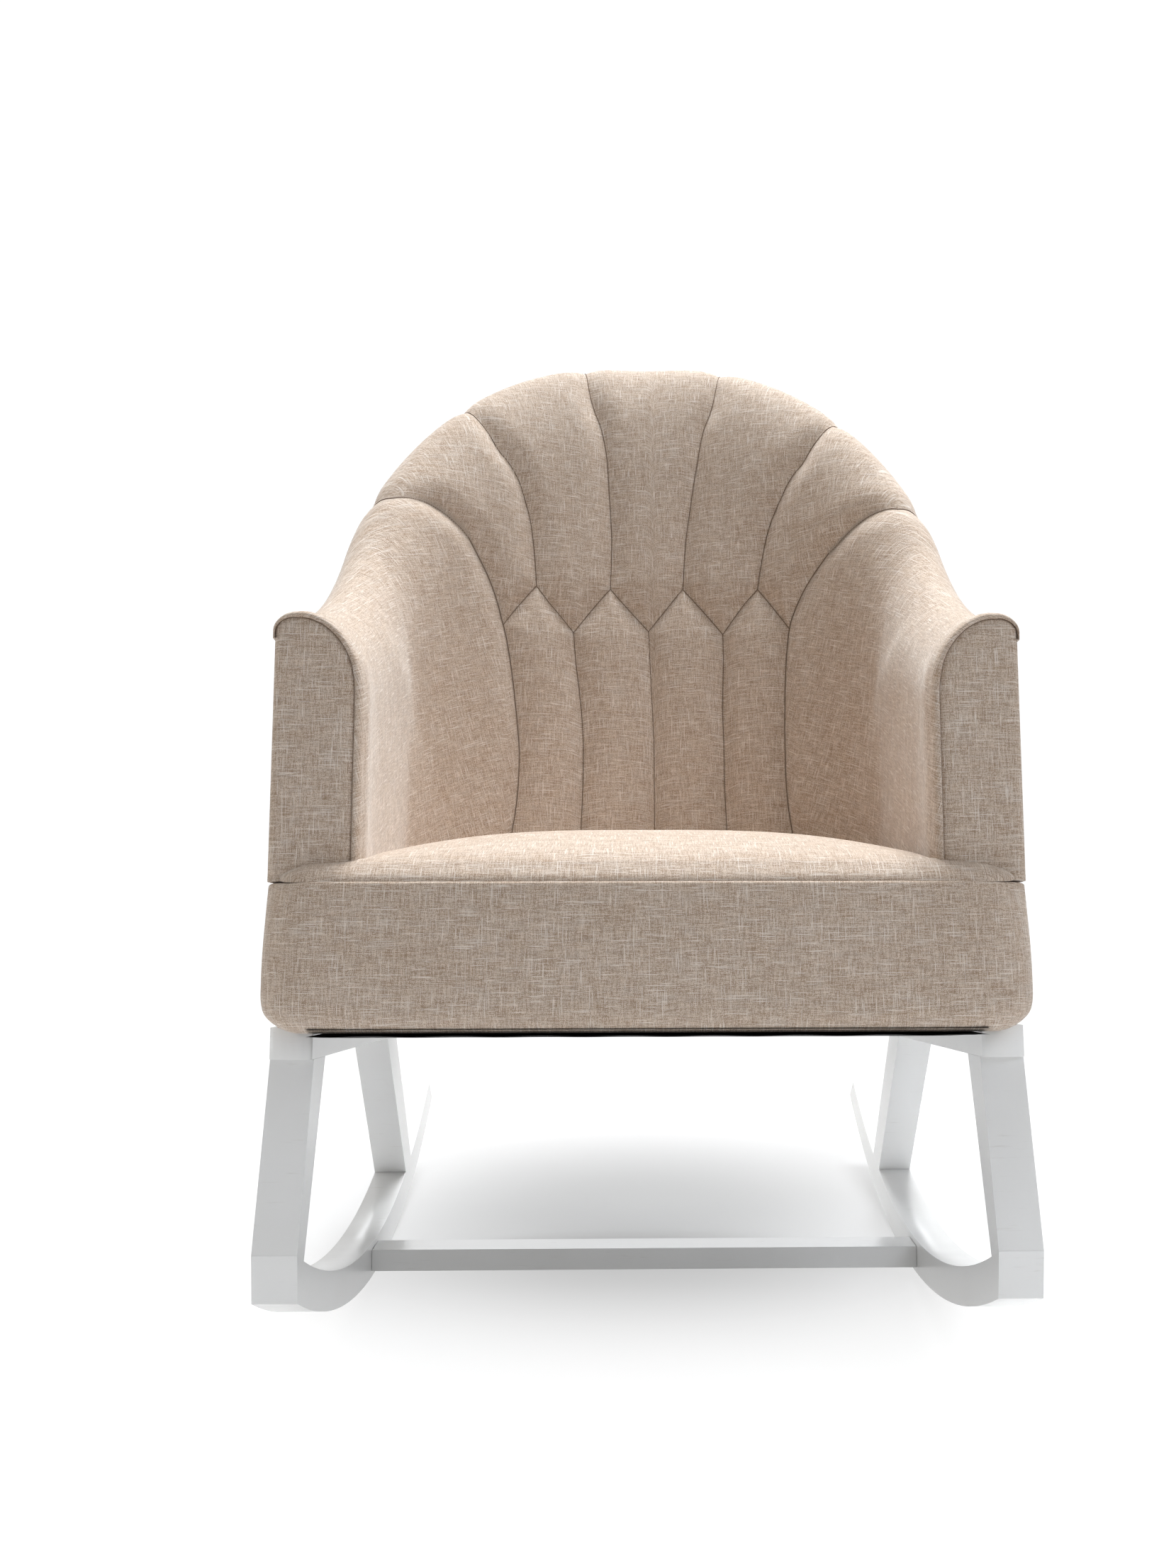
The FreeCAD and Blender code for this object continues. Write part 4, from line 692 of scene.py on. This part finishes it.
panel_edge = 0.6
panel_foot = seam + 1
panel_back = 14.0
seam_rise, panel_swell, swell_reach = 8.8, 4.5, 14.0
side_round = 9.0
middle_depth, middle_inset = 32.0, 0.96
for name, side in (("left", -1), ("right", 1)):
    edge = seam_edges[name]
    edge = edge[edge[:, 2] > panel_foot]
    sewn = np.column_stack([tub_half - np.abs(edge[:, 0]), edge[:, 2]])
    sewn = sewn[sewn[:, 0] > panel_edge + 0.5]
    drop = [(panel_edge, z) for z in np.linspace(sewn[-1, 1] - 3, panel_foot, 60)]
    hem = [(x, panel_foot) for x in np.linspace(panel_edge, sewn[0, 0], 12)[1:-1]]
    outline = np.array([tuple(spot) for spot in sewn[::3]] + drop + hem)
    middle = np.clip(outline[:, 1], seam + 30, arm_height - 46)
    middle = np.column_stack([np.full(len(outline), middle_depth), middle])
    rings = []
    threads = []
    for share in np.concatenate([[0.0, 0.0], middle_inset * np.linspace(0, 1, 24)[1:] ** 1.6]):
        flat = outline * (1 - share) + middle * share
        from_seam = np.linalg.norm(flat[:, None] - sewn[None], axis=2).min(1)
        near_seam = seam_rise + panel_swell * swelled(part_way(from_seam, swell_reach), 2.5)
        full_rise = seam_rise + panel_swell
        near_side = full_rise * rounded(part_way(flat[:, 0] - panel_edge, side_round))
        y = arm_front + edge_roll - np.minimum(near_seam, near_side)
        if not rings:
            y = np.full(len(outline), arm_front + panel_back)
        rings.append(np.column_stack([side * (tub_half - flat[:, 0]), y, flat[:, 1]]))
        threads.append(np.column_stack([flat[:, 0] * side / 1000 + 7 + side, flat[:, 1] / 1000]))
    threads = np.array(threads)
    threads = np.concatenate([threads, threads[:, :1]], axis=1)
    cover = upholster(name + "_arm_front_cover", np.array(rings), threads, ring=True)
    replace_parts(cover, name + "_arm_front_panel")


# ---------------------------------------------------------------- outside panels
# Plain covered panels over the boards and the shell, one to each arm and one round the back, sewn under
# the rim's roll and above the seat borders.

back_end, arm_end = 0.617, 0.6205
panel_base = seam + 0.6
panel_thickness = 11.5
swell, swell_reach, edge_sink = 2.5, 12.0, 2.0
post_spacing = 4.0
for name, start, end, count, node in (
        ("outside_back_cover", -back_end, back_end, 180, "outside_back"),
        ("left_outside_arm_cover", -front_way, -arm_end, 60, "left_outside_arm"),
        ("right_outside_arm_cover", arm_end, front_way, 60, "right_outside_arm")):
    ways = np.linspace(start, end, count)
    levels = np.linspace(0, 1, 60)
    high = rim_height(ways)[:, None] - rim_round - 3.8 - panel_base
    from_ends = np.minimum(np.arange(count), np.arange(count)[::-1])[:, None] * post_spacing
    from_edge = np.minimum(from_ends, np.minimum(levels, 1 - levels) * high)
    proud = swell * swelled(part_way(from_edge, swell_reach)) - edge_sink
    outer = tub_point(ways[:, None], -proud, panel_base + levels * high)
    inner = tub_point(ways[:, None], panel_thickness, panel_base + levels[::-1] * high)
    grid = np.concatenate([outer, inner], axis=1)
    threads = np.zeros((count, grid.shape[1] + 1, 2))
    threads[..., 0] = lengths(outer[:, 20])[:, None] + 11 + start
    threads[:, :-1, 1] = np.stack([lengths(loop) for loop in grid])
    threads[:, -1, 1] = threads[:, -2, 1] + 0.01
    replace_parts(upholster(name, grid, threads, ring=True), node)


# ---------------------------------------------------------------- dust cover
# Black spunbond cloth that closes the seat's underside. It is stapled to the seat frame through a folded
# hem, and hangs a little between the staples.

half_cover = 275.0
cover_inset = 6.0
cover_top = 260.4
hem_depth = 5.2
sag, sag_reach = 3.0, 60.0
pucker, pucker_pitch, pucker_reach = 0.4, 11.0, 25.0
cover_front = seat_front + cover_inset
across = np.linspace(-half_cover, half_cover, 60)
round_share = np.sqrt(1 - (across / (seat_half - cover_inset)) ** 2)
back_edge = bend_start + (seat_reach - cover_inset) * round_share
y = cover_front + (back_edge - cover_front) * np.linspace(0, 1, 40)[:, None]
x = np.broadcast_to(across, y.shape)
inside = np.minimum(half_cover - np.abs(x), np.minimum(y - cover_front, back_edge - y))
hang = sag * swelled(part_way(inside, sag_reach))
hang = hang + pucker * np.sin(x / pucker_pitch) * np.exp(-inside / pucker_reach)
below = np.stack([x, y, cover_top - hem_depth - hang], -1)
above = np.stack([x, y, np.full(y.shape, cover_top)], -1)[::-1]
grid = np.concatenate([below, above])
threads = np.concatenate([grid[..., :2] / 1000, grid[:, -1:, :2] / 1000], axis=1)
dust_cover = upholster("dust_cover_cloth", grid, threads, material=black_cloth)
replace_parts(dust_cover, "dust_cover")


# ---------------------------------------------------------------- sewing thread
# The cover is sewn along the channels, the wings and the arm front panels. The sunk stitch line is a
# thin brown thread, drawn dark so that it also paints the shade at the bottom of each seam's crease.

stitch, tree, surface = new_shader("stitch_line")
# The thread's darker tone is partly its own colour and partly painted shade of the crease it lies in.
dark_thread_and_painted_shade = (0.15, 0.10, 0.065, 1)
thread_brown = (0.26, 0.18, 0.125, 1)
twist = noise(tree, add(tree, "TexCoord").outputs["Object"], 700.0)
finish(tree, surface, mixed(tree, twist, dark_thread_and_painted_shade, thread_brown), {"Roughness": 0.95})

thread_radius = 0.00042
stitch_sunk = 7.9
curve = bpy.data.curves.new("channel_stitching", "CURVE")
curve.dimensions = "3D"
curve.bevel_depth = thread_radius
curve.bevel_resolution = 1
curve.materials.append(stitch)
stitched = []
for line in seam_lines:
    way, height = line[:, 0], np.minimum(line[:, 1], rim_end - 0.012)
    across = lining_point(way + 0.003, height) - lining_point(way - 0.003, height)
    up = lining_point(way, height + 0.004) - lining_point(way, height - 0.004)
    towards_sitter = np.cross(across, up)
    towards_sitter /= np.linalg.norm(towards_sitter, axis=1)[:, None]
    sunk = stitch_sunk * np.clip((1 - height) / 0.25, 0.38, 1)
    stitched.append(lining_point(way, height) - towards_sitter * sunk[:, None])
for edge in seam_edges.values():
    stitched.append(edge[edge[:, 2] > panel_foot][:-1])
for line in stitched:
    spline = curve.splines.new("POLY")
    spline.points.add(len(line) - 1)
    spline.points.foreach_set("co", np.column_stack([stood_up(line), np.ones(len(line))]).ravel())
thread = bpy.data.objects.new("channel_stitching", curve)
bpy.context.scene.collection.objects.link(thread)
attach(thread, "root")


# ---------------------------------------------------------------- room
# A white studio. The floor and the sky are white where they are looked at, the floor keeps the chair's
# shadow, and the light comes from a soft sky, a lamp above, one at the front and three low ones. Where it
# is looked at, the floor's glow dims towards a spot under the chair: a painted shadow.

def plainly_seen(tree):
    """1 where the room is looked at, straight, in a gloss or through glass, and 0 for the light it gives."""
    path = add(tree, "LightPath").outputs
    looked_at = path["Is Camera Ray"]
    for kind in ("Is Glossy Ray", "Is Transmission Ray"):
        looked_at = add(tree, "Math", {0: looked_at, 1: path[kind]}, operation="MAXIMUM").outputs[0]
    return looked_at


def between(tree, factor, low, high, first, second):
    """One strength below low, another above high, smooth between."""
    values = {0: factor, 1: low, 2: high, 3: first, 4: second}
    return add(tree, "MapRange", values, interpolation_type="SMOOTHSTEP").outputs[0]


floor_white, tree, surface = new_shader("white_floor")
floor_grey = (0.72, 0.72, 0.72, 1)
seen_grey = (0.25, 0.25, 0.25, 1)
white_light = (1, 1, 1, 1)
# The floor also gives off a faint glow onto the chair, painted light from below.
floor_glow = 0.20
# The spot under the chair where the painted shadow on the floor is darkest.
painted_shadow_centre = (0, -0.19, 0)
seen = plainly_seen(tree)
place = stretched(tree, add(tree, "TexCoord").outputs["Object"], (0.9, 1, 1), painted_shadow_centre)
away = add(tree, "VectorMath", {0: place}, operation="LENGTH").outputs["Value"]
# Seen by the camera, the floor glows least near that spot and more away from it: a painted shadow.
painted_shadow_glow = between(tree, away, 0.05, 0.55, 0.30, 0.92)
glow_with_painted_shadow = add(tree, "Mix", {0: seen, 2: floor_glow, 3: painted_shadow_glow}).outputs[0]
tree.links.new(glow_with_painted_shadow, surface.inputs["Emission Strength"])
finish(tree, surface, mixed(tree, seen, floor_grey, seen_grey),
       {"Roughness": 1.0, "Specular IOR Level": 0.0, "Emission Color": white_light})

floor_reach, floor_drop = 30.0, 0.0005
mesh = bpy.data.meshes.new("floor")
corners = [(x * floor_reach, y * floor_reach, -floor_drop) for x, y in ((-1, -1), (1, -1), (1, 1), (-1, 1))]
mesh.from_pydata(corners, [], [(0, 1, 2, 3)])
mesh.materials.append(floor_white)
ground = bpy.data.objects.new("floor", mesh)
bpy.context.scene.collection.objects.link(ground)

world = bpy.data.worlds.new("studio")
bpy.context.scene.world = world
world.use_nodes = True
tree = world.node_tree
backdrop = tree.nodes["Background"]
seen_white = 1.05
direction = add(tree, "SeparateXYZ", {0: add(tree, "TexCoord").outputs["Generated"]}).outputs
overhead = between(tree, direction["Z"], -0.1, 0.95, 0.13, 0.45)
behind = between(tree, direction["Y"], -0.4, 0.8, 0.0, 0.20)
sky = add(tree, "Math", {0: overhead, 1: behind}, operation="ADD").outputs[0]
sky = add(tree, "Mix", {0: plainly_seen(tree), 2: sky, 3: seen_white}).outputs[0]
tree.links.new(sky, backdrop.inputs["Strength"])
backdrop.inputs["Color"].default_value = white_light

cool, neutral, warm = (0.93, 0.98, 1.06), (0.97, 1.0, 1.03), (1.0, 0.95, 0.87)
for name, spot, aim, wide, high, power, spread, colour in (
        ("overhead", (0.30, 0.72, 2.8), (0, -0.18, 0.4), 1.2, 1.2, 11.5, 50, neutral),
        ("right_front", (1.7, -1.7, 2.0), (0, 0, 0.5), 1.4, 1.4, 14, 180, cool),
        ("rear_low", (0, 3.0, 1.0), (0, 0, 0.1), 1.8, 0.5, 9, 180, neutral),
        ("right_rim", (2.4, 0.1, 1.2), (0, 0, 0.6), 1.4, 1.4, 3, 180, neutral),
        ("left_rim", (-2.4, 0.1, 1.1), (0, 0, 0.6), 1.4, 1.4, 9, 180, warm)):
    light = bpy.data.lights.new(name, "AREA")
    light.shape = "RECTANGLE"
    light.size = wide
    light.size_y = high
    light.energy = power
    light.spread = math.radians(spread)
    light.color = colour
    lamp = bpy.data.objects.new(name, light)
    bpy.context.scene.collection.objects.link(lamp)
    lamp.location = spot
    x, y, z = np.array(aim) - np.array(spot)
    lamp.rotation_euler = (math.atan2(math.hypot(x, y), -z), 0, math.atan2(x, -y) + math.pi)

eye = (-0.016, floor_contact / 1000 - 1.4993, 0.4995)
eye_turn = math.radians(-1.2)
camera = bpy.data.objects.new("camera", bpy.data.cameras.new("camera"))
bpy.context.scene.collection.objects.link(camera)
camera.location = eye
camera.rotation_euler = (math.pi / 2, 0, eye_turn)
camera.data.lens = 36 * 2000 / 2212
camera.data.shift_x = -0.0454
bpy.context.scene.camera = camera
bpy.context.scene.view_settings.view_transform = "Standard"
